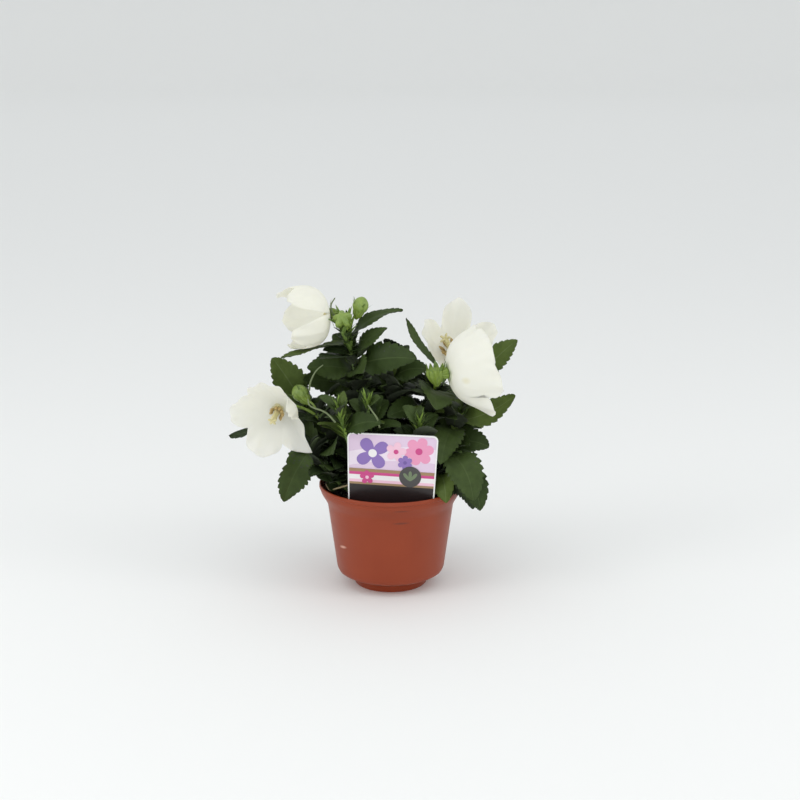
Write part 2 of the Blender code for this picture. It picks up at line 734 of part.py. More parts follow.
def make_calyx(bloom, collection):
    """The bloom's stalk, which starts inside the twig, and the round calyx just under its cup."""
    start = shoot_point(SHOOTS[bloom.shoot], bloom.place)
    facing = Vector(bloom.facing).normalized()
    centre = Vector(bloom.base) - facing * (CALYX_RADIUS + GAP)
    return [
        stalk(start, centre, collection),
        ball("calyx", centre, CALYX_RADIUS, facing, collection),
    ]


def make_bloom(name, bloom, collection, finish):
    """The cup with its style, which stands in the middle of it."""
    frame = bloom_frame(bloom)
    ends = [frame @ Vector((0.0, 0.0, PETAL_THICKNESS / 2)), frame @ Vector((0.0, 0.0, STYLE_LENGTH))]
    style = tube("style", ends, [STYLE_RADIUS, STYLE_RADIUS], collection)
    return fused(name, [make_cup(bloom, collection), as_mesh(style, collection)], finish)


def fused(name, pieces, finish):
    """The pieces joined into one closed solid by one Boolean union."""
    first, *others = pieces
    group = new_collection(f"{name} pieces", hidden=True)
    for piece in others:
        group.objects.link(piece)
    add_boolean(first, "UNION", group)
    mesh = evaluated_mesh(first)
    bm = bmesh.new()
    bm.from_mesh(mesh)
    bmesh.ops.triangulate(bm, faces=bm.faces)
    bm.to_mesh(mesh)
    bm.free()
    shade_round(mesh)
    for piece in pieces:
        bpy.data.objects.remove(piece)
    bpy.data.collections.remove(group)
    return add_object(name, mesh, bpy.data.collections[PLANT], finish)


# The whole plant, put together

def build():
    clear_scene()
    plant = new_collection(PLANT)
    pieces = new_collection("loose pieces", hidden=True)
    stem_finish = material("stem green", STEM_GREEN, 0.55)
    leaf_finish = material("leaf green", LEAF_GREEN, 0.45)
    petal_finish = material("petal white", PETAL_WHITE, 0.55)

    room = Room()
    pot = make_pot(plant, material("terracotta plastic", TERRACOTTA, 0.35))
    label = make_label(plant, material("printed card", CARD_LILAC, 0.35))
    soil = make_soil(plant, material("potting soil", SOIL_BROWN, 0.95))
    cut_label_slot(soil)
    bpy.context.view_layer.update()
    for obj in (pot, label, soil):
        room.add_object(obj.name, obj)

    twigs = {}
    for name, shoot in SHOOTS.items():
        room.add_object(f"stem_{name}", make_stem(name, shoot, plant, stem_finish))
        points, radii = shoot_run(shoot, twig_start(shoot), 1.0, 5)
        twigs[name] = [as_mesh(tube(f"twig_{name}", points, radii, pieces), pieces)]
    for bud in BUDS:
        twigs[bud.shoot] += make_bud(bud, pieces)
    for bloom in BLOOMS.values():
        twigs[bloom.shoot] += make_calyx(bloom, pieces)
    for name, made in twigs.items():
        for piece in made:
            room.add_object(name, piece)
    for name, bloom in BLOOMS.items():
        room.add_object(name, make_bloom(name, bloom, pieces, petal_finish))

    leaves = grow_leaves(room, pieces)
    for name in SHOOTS:
        fused(f"foliage_{name}", [*twigs[name], *leaves[name]], leaf_finish)
    bpy.data.collections.remove(pieces)


build()
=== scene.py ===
"""A potted white balloon flower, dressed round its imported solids: every leaf, bloom and crumb.

Metres, +Z up, the origin under the middle of the pot, the plant label at the front (-Y).
"""

import math
import random
from collections import namedtuple
from itertools import product

import bmesh
import bpy
from mathutils import Matrix, Quaternion, Vector, noise
from mathutils.bvhtree import BVHTree


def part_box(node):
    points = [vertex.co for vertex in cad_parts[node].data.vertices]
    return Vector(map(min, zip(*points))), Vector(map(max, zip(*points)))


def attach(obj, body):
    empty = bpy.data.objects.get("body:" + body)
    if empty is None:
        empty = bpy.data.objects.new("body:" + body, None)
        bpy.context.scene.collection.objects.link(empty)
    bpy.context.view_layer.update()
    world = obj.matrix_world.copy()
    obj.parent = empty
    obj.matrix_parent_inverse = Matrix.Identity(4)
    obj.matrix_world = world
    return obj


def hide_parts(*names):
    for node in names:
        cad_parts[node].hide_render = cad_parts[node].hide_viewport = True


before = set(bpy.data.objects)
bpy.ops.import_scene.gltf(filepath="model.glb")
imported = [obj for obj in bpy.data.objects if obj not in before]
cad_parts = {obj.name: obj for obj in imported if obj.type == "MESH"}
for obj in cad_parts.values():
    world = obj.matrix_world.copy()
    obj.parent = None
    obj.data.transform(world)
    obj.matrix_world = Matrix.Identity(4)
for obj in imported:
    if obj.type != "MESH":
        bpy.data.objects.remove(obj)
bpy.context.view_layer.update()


# The nursery pot is a thin shell of terracotta-coloured polypropylene, moulded in one shot. Its
# lip flares out over a hollow collar, its wall tapers to a sloped base edge, and six drain holes
# are moulded through the foot that it stands on.

pot_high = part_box("pot")[1]
RIM_RADIUS = pot_high.x
POT_HEIGHT = pot_high.z
LIP_ROUND = 0.001
COLLAR_RADIUS = 0.0532
BASE_RADIUS = 0.0453
BASE_SLOPE = 0.0088
FOOT_RADIUS = 0.0306
FOOT_HEIGHT = 0.0052
POT_WALL = 0.001
DRAIN_COUNT = 6
DRAIN_RADIUS = 0.003
DRAIN_CIRCLE = 0.023
DRAIN_CUT = 0.006
TERRACOTTA = (0.278, 0.046, 0.014)
TERRACOTTA_SHADE = (0.245, 0.039, 0.012)
SCUFF_PALE = (0.62, 0.33, 0.25)
SMUDGE_DARK = (0.15, 0.034, 0.018)

Tone = namedtuple("Tone", "colour share size")


def joined(node, **inputs):
    """The shader node, with each input (_ for a space) joined to a socket or set to a value."""
    for name, value in inputs.items():
        socket = node.inputs[name.replace("_", " ")]
        if isinstance(value, bpy.types.NodeSocket):
            node.id_data.links.new(value, socket)
        else:
            socket.default_value = value
    return node


def shader_of(made):
    return made.node_tree.nodes["Principled BSDF"]


def finish(name, colour, roughness, second=None, relief=0.00008, grain=0.0006, uneven=0.06):
    """A procedural finish: an optional second tone in soft patches, uneven gloss, fine relief."""
    made = bpy.data.materials.new(name)
    made.use_nodes = True
    nodes = made.node_tree.nodes
    shader = joined(shader_of(made), Base_Color=(*colour, 1.0), Roughness=roughness)
    place = nodes.new("ShaderNodeTexCoord").outputs["Object"]

    def cloud(size, detail):
        cells = nodes.new("ShaderNodeTexNoise")
        return joined(cells, Vector=place, Scale=1.0 / size, Detail=detail).outputs["Fac"]

    if second:
        ramp = joined(nodes.new("ShaderNodeValToRGB"), Fac=cloud(second.size, 4.0))
        for stop, side, tone in zip(ramp.color_ramp.elements, (-0.5, 0.5), (second.colour, colour)):
            stop.position = 0.5 + side * second.share
            stop.color = (*tone, 1.0)
        joined(shader, Base_Color=ramp.outputs["Color"])
    gloss = nodes.new("ShaderNodeMapRange")
    joined(gloss, Value=cloud(grain * 6, 2.0), To_Min=roughness - uneven, To_Max=roughness + uneven)
    bump = nodes.new("ShaderNodeBump")
    joined(bump, Height=cloud(grain, 3.0), Distance=relief, Strength=1.0)
    joined(shader, Roughness=gloss.outputs["Result"], Normal=bump.outputs["Normal"])
    return made


def arc(centre, radius, start, end, steps):
    """Points of an arc in the plane, from one angle to the other, in degrees."""
    angles = [math.radians(start + (end - start) * i / steps) for i in range(steps + 1)]
    return [(centre[0] + radius * math.cos(a), centre[1] + radius * math.sin(a)) for a in angles]


def rounded(points, steps):
    """A smooth curve through the points, as a list with steps points to each run."""
    ends = [points[0], *points, points[-1]]
    made = []
    for i in range(1, len(ends) - 2):
        a, b, c, d = (Vector(p) for p in ends[i - 1:i + 3])
        for k in range(steps):
            t = k / steps
            made.append(tuple(
                0.5 * (2 * b + (c - a) * t + (2 * a - 5 * b + 4 * c - d) * t * t
                       + (3 * b - a - 3 * c + d) * t ** 3)
            ))
    return [*made, tuple(points[-1])]


def pot_outside():
    """The outside of the pot as (radius, height), from the lip's top down to the axis."""
    lip = arc((RIM_RADIUS - LIP_ROUND, POT_HEIGHT - LIP_ROUND), LIP_ROUND, 90, 0, 6)
    lip += [(RIM_RADIUS, POT_HEIGHT - 0.003), (RIM_RADIUS - 0.0009, POT_HEIGHT - 0.0036)]
    collar = rounded([
        (RIM_RADIUS - 0.0009, POT_HEIGHT - 0.0038),
        (RIM_RADIUS - 0.0015, POT_HEIGHT - 0.007),
        (RIM_RADIUS - 0.0034, POT_HEIGHT - 0.0105),
        (COLLAR_RADIUS + 0.0006, POT_HEIGHT - 0.0155),
        (COLLAR_RADIUS - 0.0004, POT_HEIGHT - 0.0185),
    ], 5)
    corner = rounded([
        (BASE_RADIUS + 0.0002, FOOT_HEIGHT + BASE_SLOPE + 0.0016),
        (BASE_RADIUS - 0.0008, FOOT_HEIGHT + BASE_SLOPE - 0.001),
        (BASE_RADIUS - 0.0026, FOOT_HEIGHT + BASE_SLOPE - 0.003),
        (FOOT_RADIUS + 0.003, FOOT_HEIGHT + 0.0016),
        (FOOT_RADIUS + 0.001, FOOT_HEIGHT + 0.0004),
    ], 3)
    foot = [(FOOT_RADIUS + 0.0005, FOOT_HEIGHT - 0.0006), (FOOT_RADIUS, 0.0008)]
    return [*lip, *collar, *corner, *foot, (FOOT_RADIUS - 0.0008, 0.0), (0.0, 0.0)]


def inset(outline, distance):
    """The outline moved towards the axis and upwards, square to each of its runs."""
    moved = []
    for i, (radius, height) in enumerate(outline):
        before = outline[max(i - 1, 0)]
        after = outline[min(i + 1, len(outline) - 1)]
        run = Vector((after[0] - before[0], after[1] - before[1])).normalized()
        moved.append((max(radius + run.y * distance, 0.0), height - run.x * distance))
    return moved


def turned(outline, steps):
    """A closed mesh turned round Z from a profile that starts and ends on the axis or meets itself."""
    bm = bmesh.new()
    verts = [bm.verts.new((radius, 0.0, height)) for radius, height in outline]
    edges = [bm.edges.new(pair) for pair in zip(verts, verts[1:])]
    bmesh.ops.spin(
        bm, geom=[*verts, *edges], axis=(0, 0, 1), cent=(0, 0, 0), steps=steps,
        angle=2 * math.pi, use_duplicate=False,
    )
    bmesh.ops.remove_doubles(bm, verts=bm.verts, dist=0.000002)
    bmesh.ops.recalc_face_normals(bm, faces=bm.faces)
    return bm


def shown(name, mesh, finishes, crease):
    """The mesh as an object in the scene, shaded smooth but for its creases."""
    for skin in finishes:
        mesh.materials.append(skin)
    mesh.shade_smooth()
    mesh.set_sharp_from_angle(angle=math.radians(crease))
    made = bpy.data.objects.new(name, mesh)
    bpy.context.scene.collection.objects.link(made)
    return made


def object_from(bm, name, *finishes):
    mesh = bpy.data.meshes.new(name)
    bm.to_mesh(mesh)
    bm.free()
    return shown(name, mesh, finishes, 42)


def polar(out, angle, height=0.0):
    """The place so far out from Z, at that angle in radians."""
    return Vector((out * math.cos(angle), out * math.sin(angle), height))


def marked(made, place, size, tilt, colour):
    """A small mark of another colour at one place, longer than it is high, with a soft edge."""
    nodes = made.node_tree.nodes
    spot = nodes.new("ShaderNodeMapping")
    spot.vector_type = "TEXTURE"
    joined(spot, Vector=nodes["Texture Coordinate"].outputs["Object"])
    joined(spot, Location=place, Rotation=(0.0, math.radians(tilt), 0.0), Scale=size)
    reach = nodes.new("ShaderNodeVectorMath")
    reach.operation = "LENGTH"
    joined(reach, Vector=spot.outputs["Vector"])
    edge = nodes.new("ShaderNodeMapRange")
    joined(edge, Value=reach.outputs["Value"], From_Min=1.0, From_Max=0.3)
    mix = nodes.new("ShaderNodeMix")
    mix.data_type = "RGBA"
    before = shader_of(made).inputs["Base Color"].links[0].from_socket
    joined(mix, Factor=edge.outputs["Result"], A=before, B=(*colour, 1.0))
    joined(shader_of(made), Base_Color=mix.outputs["Result"])


pot_plastic = finish(
    "terracotta plastic", TERRACOTTA, 0.4, Tone(TERRACOTTA_SHADE, 0.5, 0.03),
    relief=0.00003, grain=0.0009, uneven=0.05,
)
joined(shader_of(pot_plastic), Specular_IOR_Level=0.3)
marked(pot_plastic, (-0.0385, -0.028, 0.04), (0.0062, 0.006, 0.0016), -16, SCUFF_PALE)
marked(pot_plastic, (0.009, -0.052, 0.068), (0.009, 0.006, 0.0011), 0, SMUDGE_DARK)
marked(pot_plastic, (0.0085, -0.056, 0.08), (0.009, 0.006, 0.0008), 0, SMUDGE_DARK)

pot_skin = [*pot_outside(), *reversed(inset(pot_outside(), POT_WALL)[:-1]), pot_outside()[0]]
pot = object_from(turned(pot_skin, 144), "pot_shell", pot_plastic)
for i in range(DRAIN_COUNT):
    drain = bmesh.new()
    bmesh.ops.create_cone(
        drain, cap_ends=True, segments=24, radius1=DRAIN_RADIUS, radius2=DRAIN_RADIUS, depth=DRAIN_CUT
    )
    drain_place = polar(1.0, 2 * math.pi * (i + 0.5) / DRAIN_COUNT) * DRAIN_CIRCLE
    bmesh.ops.translate(drain, vec=drain_place, verts=drain.verts)
    cutter = object_from(drain, "drain_cutter")
    cut = pot.modifiers.new("drain", "BOOLEAN")
    cut.operation = "DIFFERENCE"
    cut.object = cutter
    bpy.context.view_layer.update()
    cut_pot = pot.evaluated_get(bpy.context.evaluated_depsgraph_get())
    cut_mesh = bpy.data.meshes.new_from_object(cut_pot)
    pot.modifiers.remove(cut)
    pot.data = cut_mesh
    bpy.data.objects.remove(cutter)
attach(pot, "root")
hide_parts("pot")


# The pot is filled with moist peat compost. Its top is uneven and sinks a little at the wall, and
# loose crumbs, wood fibres and a few white grains of perlite lie on it.

SOIL_TOP = 0.076
SOIL_SINK = 0.0006
SOIL_EDGE = 0.86
SOIL_EDGE_DROP = 0.002
LUMPS_TO_METRE = 110
LUMP_HEIGHT = 0.0009
GAP = 0.0003
CRUMBS = 1500
CRUMB_SIZES = (0.0004, 0.0013)
PERLITE = 45
PERLITE_SIZES = (0.0005, 0.001)
FIBRES = 110
FIBRE_LENGTHS = (0.004, 0.01)
FIBRE_THICK = 0.00032
FIBRE_THIN = 0.00018
PEAT = (0.03, 0.019, 0.012)
PEAT_DRY = (0.06, 0.04, 0.026)
MOIST, DRY, WHITE, WOOD = range(4)
UP = Vector((0, 0, 1))


class Pile:
    """A mesh that grows piece by piece, each face with the number of its finish."""

    def __init__(self):
        self.verts = []
        self.faces = []
        self.marks = []

    def add(self, verts, faces, mark=0):
        start = len(self.verts)
        self.verts.extend(verts)
        self.faces.extend([tuple(i + start for i in face) for face in faces])
        self.marks.extend(mark if isinstance(mark, list) else [mark] * len(faces))

    def add_bmesh(self, bm, mark=0):
        bm.verts.index_update()
        faces = [[v.index for v in f.verts] for f in bm.faces]
        self.add([tuple(v.co) for v in bm.verts], faces, mark)
        bm.free()

    def as_object(self, name, *finishes, crease=50):
        mesh = bpy.data.meshes.new(name)
        mesh.from_pydata(self.verts, [], self.faces)
        mesh.polygons.foreach_set("material_index", self.marks)
        return shown(name, mesh, finishes, crease)


def soil_height(x, y):
    """How high the compost's uneven top lies over a place in the pot."""
    edge = max(0.0, math.hypot(x, y) / soil_radius - SOIL_EDGE) / (1 - SOIL_EDGE)
    lumps = noise.noise(Vector((x, y, 0.0)) * LUMPS_TO_METRE) * LUMP_HEIGHT
    return SOIL_TOP - SOIL_SINK + lumps - SOIL_EDGE_DROP * edge


soil_gap = POT_WALL + GAP
soil_wall = [p for p in inset(pot_outside(), soil_gap) if FOOT_HEIGHT < p[1] < SOIL_TOP - 0.003]
soil_radius = soil_wall[0][0]
soil_skin = [(soil_radius * i / 26, SOIL_TOP) for i in range(27)]
soil_skin += [*soil_wall, (FOOT_RADIUS - 2 * soil_gap, soil_gap), (0.0, soil_gap)]
soil_mesh = turned(soil_skin, 96)
for vert in soil_mesh.verts:
    if vert.co.z > SOIL_TOP - 0.0001:
        vert.co.z = soil_height(vert.co.x, vert.co.y)

chance = random.Random(11)


def soil_spot(size):
    """A random place where something of that size can lie on the compost."""
    angle = chance.uniform(0, 2 * math.pi)
    out = (soil_radius - size) * math.sqrt(chance.random())
    x, y = out * math.cos(angle), out * math.sin(angle)
    return Vector((x, y, soil_height(x, y)))


def crumb(size):
    """A lump with an uneven surface."""
    bm = bmesh.new()
    bmesh.ops.create_icosphere(bm, subdivisions=1, radius=size)
    shape = Vector((chance.uniform(0.7, 1.3), chance.uniform(0.7, 1.3), chance.uniform(0.5, 0.9)))
    for v in bm.verts:
        v.co = v.co * chance.uniform(0.72, 1.15) * shape
    bmesh.ops.transform(bm, matrix=Matrix.Rotation(chance.uniform(0, 6.3), 4, "Z"), verts=bm.verts)
    bmesh.ops.translate(bm, vec=soil_spot(size * 1.4), verts=bm.verts)
    return bm


crumbs = Pile()
for i in range(CRUMBS):
    crumbs.add_bmesh(crumb(chance.uniform(*CRUMB_SIZES)), chance.choice((MOIST, MOIST, DRY)))
for i in range(PERLITE):
    crumbs.add_bmesh(crumb(chance.uniform(*PERLITE_SIZES)), WHITE)
for i in range(FIBRES):
    fibre = bmesh.new()
    bmesh.ops.create_cone(
        fibre, cap_ends=True, segments=5, radius1=FIBRE_THICK, radius2=FIBRE_THIN,
        depth=chance.uniform(*FIBRE_LENGTHS),
    )
    lie = Matrix.Rotation(chance.uniform(0, 6.3), 4, "Z") @ Matrix.Rotation(math.radians(86), 4, "Y")
    bmesh.ops.transform(fibre, matrix=lie, verts=fibre.verts)
    bmesh.ops.translate(fibre, vec=soil_spot(0.006) + UP * 0.0005, verts=fibre.verts)
    crumbs.add_bmesh(fibre, WOOD)

peat = finish("moist peat", PEAT, 0.88, Tone(PEAT_DRY, 0.3, 0.004), relief=0.0006, grain=0.0016)
dry_peat = finish("dry peat crumb", PEAT_DRY, 0.92, relief=0.0002)
perlite = finish("perlite grain", (0.62, 0.6, 0.54), 0.8, relief=0.0002)
wood_fibre = finish("wood fibre", (0.16, 0.085, 0.04), 0.8, relief=0.0001)
soil = object_from(soil_mesh, "compost", peat)
soil_crumbs = crumbs.as_object("compost_crumbs", peat, dry_peat, perlite, wood_fibre, crease=30)
for piece in (soil, soil_crumbs):
    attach(piece, "root")
    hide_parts("soil")


# Eighteen green shoots come up from one crown. The lower, bare part of each is a stem, thicker
# and flushed brown at its foot, and the twig that carries on from it bears the leaves. Both
# have fine ridges along them and a swelling at each joint.

STEM_RADIUS = 0.0017
STEM_FLARE = 1.25
FLARE_LENGTH = 0.004
STEM_BOW = 0.1
FLUSHED_SHARE = 0.35
TWIG_RADIUS = 0.001
STALK_RADIUS = 0.0009
STEM_RIDGES = 5
RIDGE_DEPTH = 0.14
STEM_WAIST = 0.93
STEM_STEP = 0.0018
JOINT_SPACING = 0.014
JOINT_SWELL = 0.16

# Foot on the soil, tip of the twig, height at which the leaves begin, number of leaves by the
# rule, their size at the bottom and at the tip, and the compass angle of the first
Shoot = namedtuple("Shoot", "foot tip bare leaves size top_size turn")

SHOOTS = {
    "tall": Shoot((-0.012, 0.006), (-0.034, 0.002, 0.216), 0.046, 11, 1.0, 0.7, 20),
    "right_bloom": Shoot((0.013, -0.001), (0.038, -0.004, 0.172), 0.036, 9, 0.95, 0.7, 250),
    "left_bloom": Shoot((-0.02, -0.008), (-0.06, -0.012, 0.15), 0.024, 8, 0.95, 0.75, 200),
    "back_bloom": Shoot((0.014, 0.018), (0.048, 0.073, 0.166), 0.03, 9, 1.0, 0.75, 80),
    "front_left": Shoot((-0.013, -0.02), (-0.0416, -0.048, 0.164), 0.022, 9, 0.92, 0.36, 230),
    "front_middle": Shoot((-0.003, -0.014), (-0.0186, -0.038, 0.164), 0.032, 9, 0.88, 0.36, 300),
    "front_right": Shoot((0.01, -0.022), (0.0242, -0.038, 0.151), 0.02, 8, 0.92, 0.36, 280),
    "centre": Shoot((0.0, 0.003), (0.001, -0.005, 0.19), 0.048, 10, 0.98, 0.62, 330),
    "centre_back": Shoot((0.002, 0.016), (0.007, 0.026, 0.188), 0.044, 10, 1.0, 0.6, 60),
    "back_left": Shoot((-0.012, 0.018), (-0.036, 0.04, 0.182), 0.03, 10, 1.0, 0.6, 130),
    "left": Shoot((-0.022, 0.002), (-0.0735, 0.016, 0.151), 0.026, 8, 1.0, 0.7, 150),
    "right": Shoot((0.022, 0.0), (0.058, 0.002, 0.146), 0.022, 7, 1.04, 0.75, 10),
    "low_right": Shoot((0.022, -0.012), (0.05, -0.028, 0.122), 0.016, 6, 1.0, 0.85, 320),
    "far_right": Shoot((0.022, 0.012), (0.076, 0.024, 0.174), 0.028, 9, 0.98, 0.7, 40),
    "back": Shoot((0.002, 0.028), (-0.002, 0.06, 0.162), 0.022, 9, 1.02, 0.65, 95),
    "low_left": Shoot((-0.023, -0.014), (-0.067, -0.026, 0.123), 0.014, 6, 1.0, 0.85, 190),
    "low_back_left": Shoot((-0.02, 0.012), (-0.056, 0.036, 0.132), 0.016, 7, 1.02, 0.8, 140),
    "low_back_right": Shoot((0.02, 0.022), (0.07, 0.052, 0.132), 0.016, 7, 1.02, 0.8, 50),
}


def bezier(start, middle, end, share):
    """A point on the quadratic curve through start and end, drawn towards middle."""
    back = 1.0 - share
    return start * back * back + middle * 2.0 * back * share + end * share * share


def shoot_point(shoot, share):
    """A point on a shoot's centre line, from its foot on the soil at 0 to its tip at 1."""
    foot = Vector((*shoot.foot, SOIL_TOP + GAP))
    tip = Vector(shoot.tip)
    rise = tip - foot
    middle = foot + Vector((rise.x, rise.y, 0.0)) * (0.5 + STEM_BOW)
    middle.z += rise.z * (0.5 - STEM_BOW)
    return bezier(foot, middle, tip, share)


def bare_share(shoot):
    """How far up the shoot its bare stem reaches."""
    return shoot.bare / (shoot.tip[2] - SOIL_TOP)


def twig_start(shoot):
    rise = shoot_point(shoot, 1.0) - shoot_point(shoot, 0.0)
    return bare_share(shoot) + GAP / rise.length


def ring_walls(rings, sides):
    """The faces between closed rings of points that follow one another."""
    faces = []
    for i, k in product(range(rings - 1), range(sides)):
        a, b = i * sides + k, i * sides + (k + 1) % sides
        faces.append((a, b, b + sides, a + sides))
    return faces


def tube(points, radii, sides, ridges=0.0):
    """A tube along the points with round ends. Ridges lift every second line of its sides."""
    verts, last = [], len(points) - 1
    across = (points[1] - points[0]).orthogonal().normalized()
    for i, point in enumerate(points):
        ahead = (points[min(i + 1, last)] - points[max(i - 1, 0)]).normalized()
        across = (across - ahead * across.dot(ahead)).normalized()
        over = ahead.cross(across)
        for k in range(sides):
            angle = 2 * math.pi * k / sides
            radius = radii[i] * (1.0 + ridges * (k % 2))
            verts.append(tuple(point + (across * math.cos(angle) + over * math.sin(angle)) * radius))
    faces = ring_walls(len(points), sides)
    for row, inner, stretch in ((0, 1, 0.4), (last, last - 1, 0.6)):
        out = (points[row] - points[inner]).normalized()
        pole = len(verts)
        verts.append(tuple(points[row] + out * radii[row] * stretch))
        for k in range(sides):
            a, b = row * sides + k, row * sides + (k + 1) % sides
            faces.append((a, b, pole) if row else (b, a, pole))
    return verts, faces


def shoot_tube(shoot, start, end, flare=1.0):
    """A stretch of the shoot, ridged, with a swelling at each joint and a wider foot."""
    length = (shoot_point(shoot, end) - shoot_point(shoot, start)).length
    steps = max(8, int(length / STEM_STEP))
    points, radii = [], []
    for i in range(steps + 1):
        share = start + (end - start) * i / steps
        along = length * i / steps
        swell = max(0.0, math.cos(2 * math.pi * along / JOINT_SPACING)) ** 6 * JOINT_SWELL
        foot = (flare - 1.0) * max(0.0, 1.0 - along / FLARE_LENGTH)
        points.append(shoot_point(shoot, share))
        radii.append((STEM_RADIUS + (TWIG_RADIUS - STEM_RADIUS) * share) * (STEM_WAIST + swell + foot))
    return tube(points, radii, 2 * STEM_RIDGES, ridges=RIDGE_DEPTH)


stem_heap, twig_heap = Pile(), Pile()
for name, shoot in SHOOTS.items():
    verts, faces = shoot_tube(shoot, 0.0, bare_share(shoot), STEM_FLARE)
    low_part = SOIL_TOP + FLUSHED_SHARE * shoot.bare
    stem_heap.add(verts, faces, [int(verts[face[0]][2] < low_part) for face in faces])
    twig_heap.add(*shoot_tube(shoot, twig_start(shoot), 1.0))

stem_green = finish(
    "stem green", (0.15, 0.23, 0.06), 0.5, Tone((0.105, 0.185, 0.045), 0.5, 0.004), relief=0.0001
)
stem_flush = finish(
    "stem flushed brown", (0.12, 0.085, 0.042), 0.55, Tone((0.13, 0.15, 0.05), 0.5, 0.004),
    relief=0.0001,
)
stems = stem_heap.as_object("stems", stem_green, stem_flush)
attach(stems, "root")
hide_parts(*[f"stem_{name}" for name in SHOOTS])


# The leaves are thick, ovate and sharply toothed, set one at each turn of the golden angle. The
# blade is folded a little along its pale midrib, quilted between its side veins, dark and satin
# above and a duller grey-green below. Each is modelled as one thin closed blade.

LEAF_LENGTH = 0.048
LEAF_BREADTH = 0.62
LEAF_CROWDING = 1.3
LEAF_FOOT = 0.04
LEAF_TIP = 0.03
LEAF_FOLD = 0.14
LEAF_ARCH = 0.13
LOW_PITCH = -22.0
TOP_PITCH = 52.0
OUTWARD_ROLL = 48.0
GOLDEN_ANGLE = 137.5
LEAF_ROWS = 30
TOOTH_ROWS = 3
LEAF_COLUMNS = (-1.0, -0.82, -0.56, -0.28, -0.035, 0.035, 0.28, 0.56, 0.82, 1.0)
LEAF_VEINS = 7
VEIN_SLANT = 0.2
QUILT_DEPTH = 0.00055
TOOTH_DEPTH = 0.16
TOOTH_NOTCHES = (1.0, 0.42, 0.0)
TOOTH_LEAN = 0.55
BLADE_THICKNESS = 0.00032
RIB_THICKNESS = 0.0008
RIB_GROOVE = 0.00022
RIPPLE = 0.0012
TOUCH = 0.00012

SetLeaf = namedtuple("SetLeaf", "shoot place tip width arch roll")

SET_LEAVES = [SetLeaf(*row) for row in (
    ("left", 0.98, (-0.0985, 0.012, 0.1917), 0.031, 0.02, -80),
    ("low_left", 0.98, (-0.0872, -0.034, 0.0807), 0.031, 0.06, -70),
    ("tall", 0.96, (0.0104, 0.002, 0.2338), 0.016, 0.14, 25),
    ("tall", 0.88, (-0.0023, -0.008, 0.2212), 0.018, 0.05, 45),
    ("tall", 0.82, (0.0217, -0.022, 0.1985), 0.03, 0.06, 58),
    ("right_bloom", 0.99, (0.0129, 0.002, 0.2276), 0.015, -0.06, -35),
    ("far_right", 0.97, (0.1066, 0.024, 0.2044), 0.023, 0.05, 60),
    ("right", 0.93, (0.1035, 0.0, 0.163), 0.025, -0.08, 50),
    ("right", 0.64, (0.0818, -0.012, 0.1214), 0.027, 0.14, 50),
    ("low_right", 0.8, (0.0738, -0.04, 0.0752), 0.029, 0.18, 45),
    ("low_right", 0.97, (0.0671, -0.056, 0.0891), 0.031, 0.18, 30),
    ("right", 0.86, (0.0411, -0.048, 0.1174), 0.027, 0.16, -20),
    ("right_bloom", 0.96, (0.0369, -0.042, 0.161), 0.036, 0.16, 0),
    ("tall", 0.95, (-0.0895, -0.01, 0.1966), 0.022, 0.02, -14),
    ("tall", 0.8, (-0.0686, -0.005, 0.187), 0.024, 0.05, -60),
    ("back_left", 0.82, (-0.0732, 0.013, 0.1734), 0.026, 0.05, -60),
    ("low_left", 0.75, (-0.0486, -0.048, 0.112), 0.028, 0.14, -30),
)]

# Two of the set leaves have rolled up lengthwise, one of them on a long stalk of its own
CURLED = {
    5: {"width": 0.0092, "base": Vector((0.0376, -0.004, 0.1905))},
    13: {"width": 0.0175},
}

Leaf = namedtuple("Leaf", "base tip width arch roll")


def leaf_breadth(s):
    """Half the blade's width at s of its length, against half its greatest width."""
    if s >= 1:
        return LEAF_TIP
    return LEAF_FOOT + (1 - LEAF_FOOT) * math.sin(math.pi * s**0.8) ** 0.68


def leaf_point(leaf, s, t):
    """The blade's surface at s of its length and t of its half width, and the way it faces."""
    line = leaf.tip - leaf.base
    heading = math.atan2(line.y, line.x)
    side = Vector((-math.sin(heading), math.cos(heading), 0.0))
    lift = line.normalized().cross(side)
    middle = (leaf.base + leaf.tip) / 2 + lift * leaf.arch * line.length * 2
    ahead = ((middle - leaf.base) * (1 - s) + (leaf.tip - middle) * s).normalized()
    side = Quaternion(ahead, math.radians(leaf.roll) * min(1.0, 3 * s)) @ side
    facing = ahead.cross(side)
    half = leaf.width / 2 * leaf_breadth(s)
    place = bezier(leaf.base, middle, leaf.tip, s) + side * t * half
    return place + facing * abs(t) * half * LEAF_FOLD * min(1.0, 4 * s), facing


# Where a leaf has no room, it swings, lifts or shrinks by the next of these: degrees, degrees and
# share of its length
WAYS = [(0, 0, 1.0), (14, 8, 1.0), (-14, 8, 1.0), (28, -8, 1.0), (-28, -8, 1.0), (8, 24, 0.96)]
WAYS += [(-8, -20, 0.96), (44, 4, 0.92), (-44, 4, 0.92), (20, 32, 0.86), (-20, -26, 0.86)]
WAYS += [(64, 10, 0.86), (-64, 10, 0.86), (84, -6, 0.8), (-84, -6, 0.8), (0, 40, 0.72)]
WAYS += [(36, -20, 0.72), (-36, 26, 0.72), (110, 6, 0.72), (-110, 16, 0.72), (150, 30, 0.62)]
WAYS += [(-60, 40, 0.56), (60, 46, 0.56), (0, -34, 0.56), (180, 36, 0.5)]


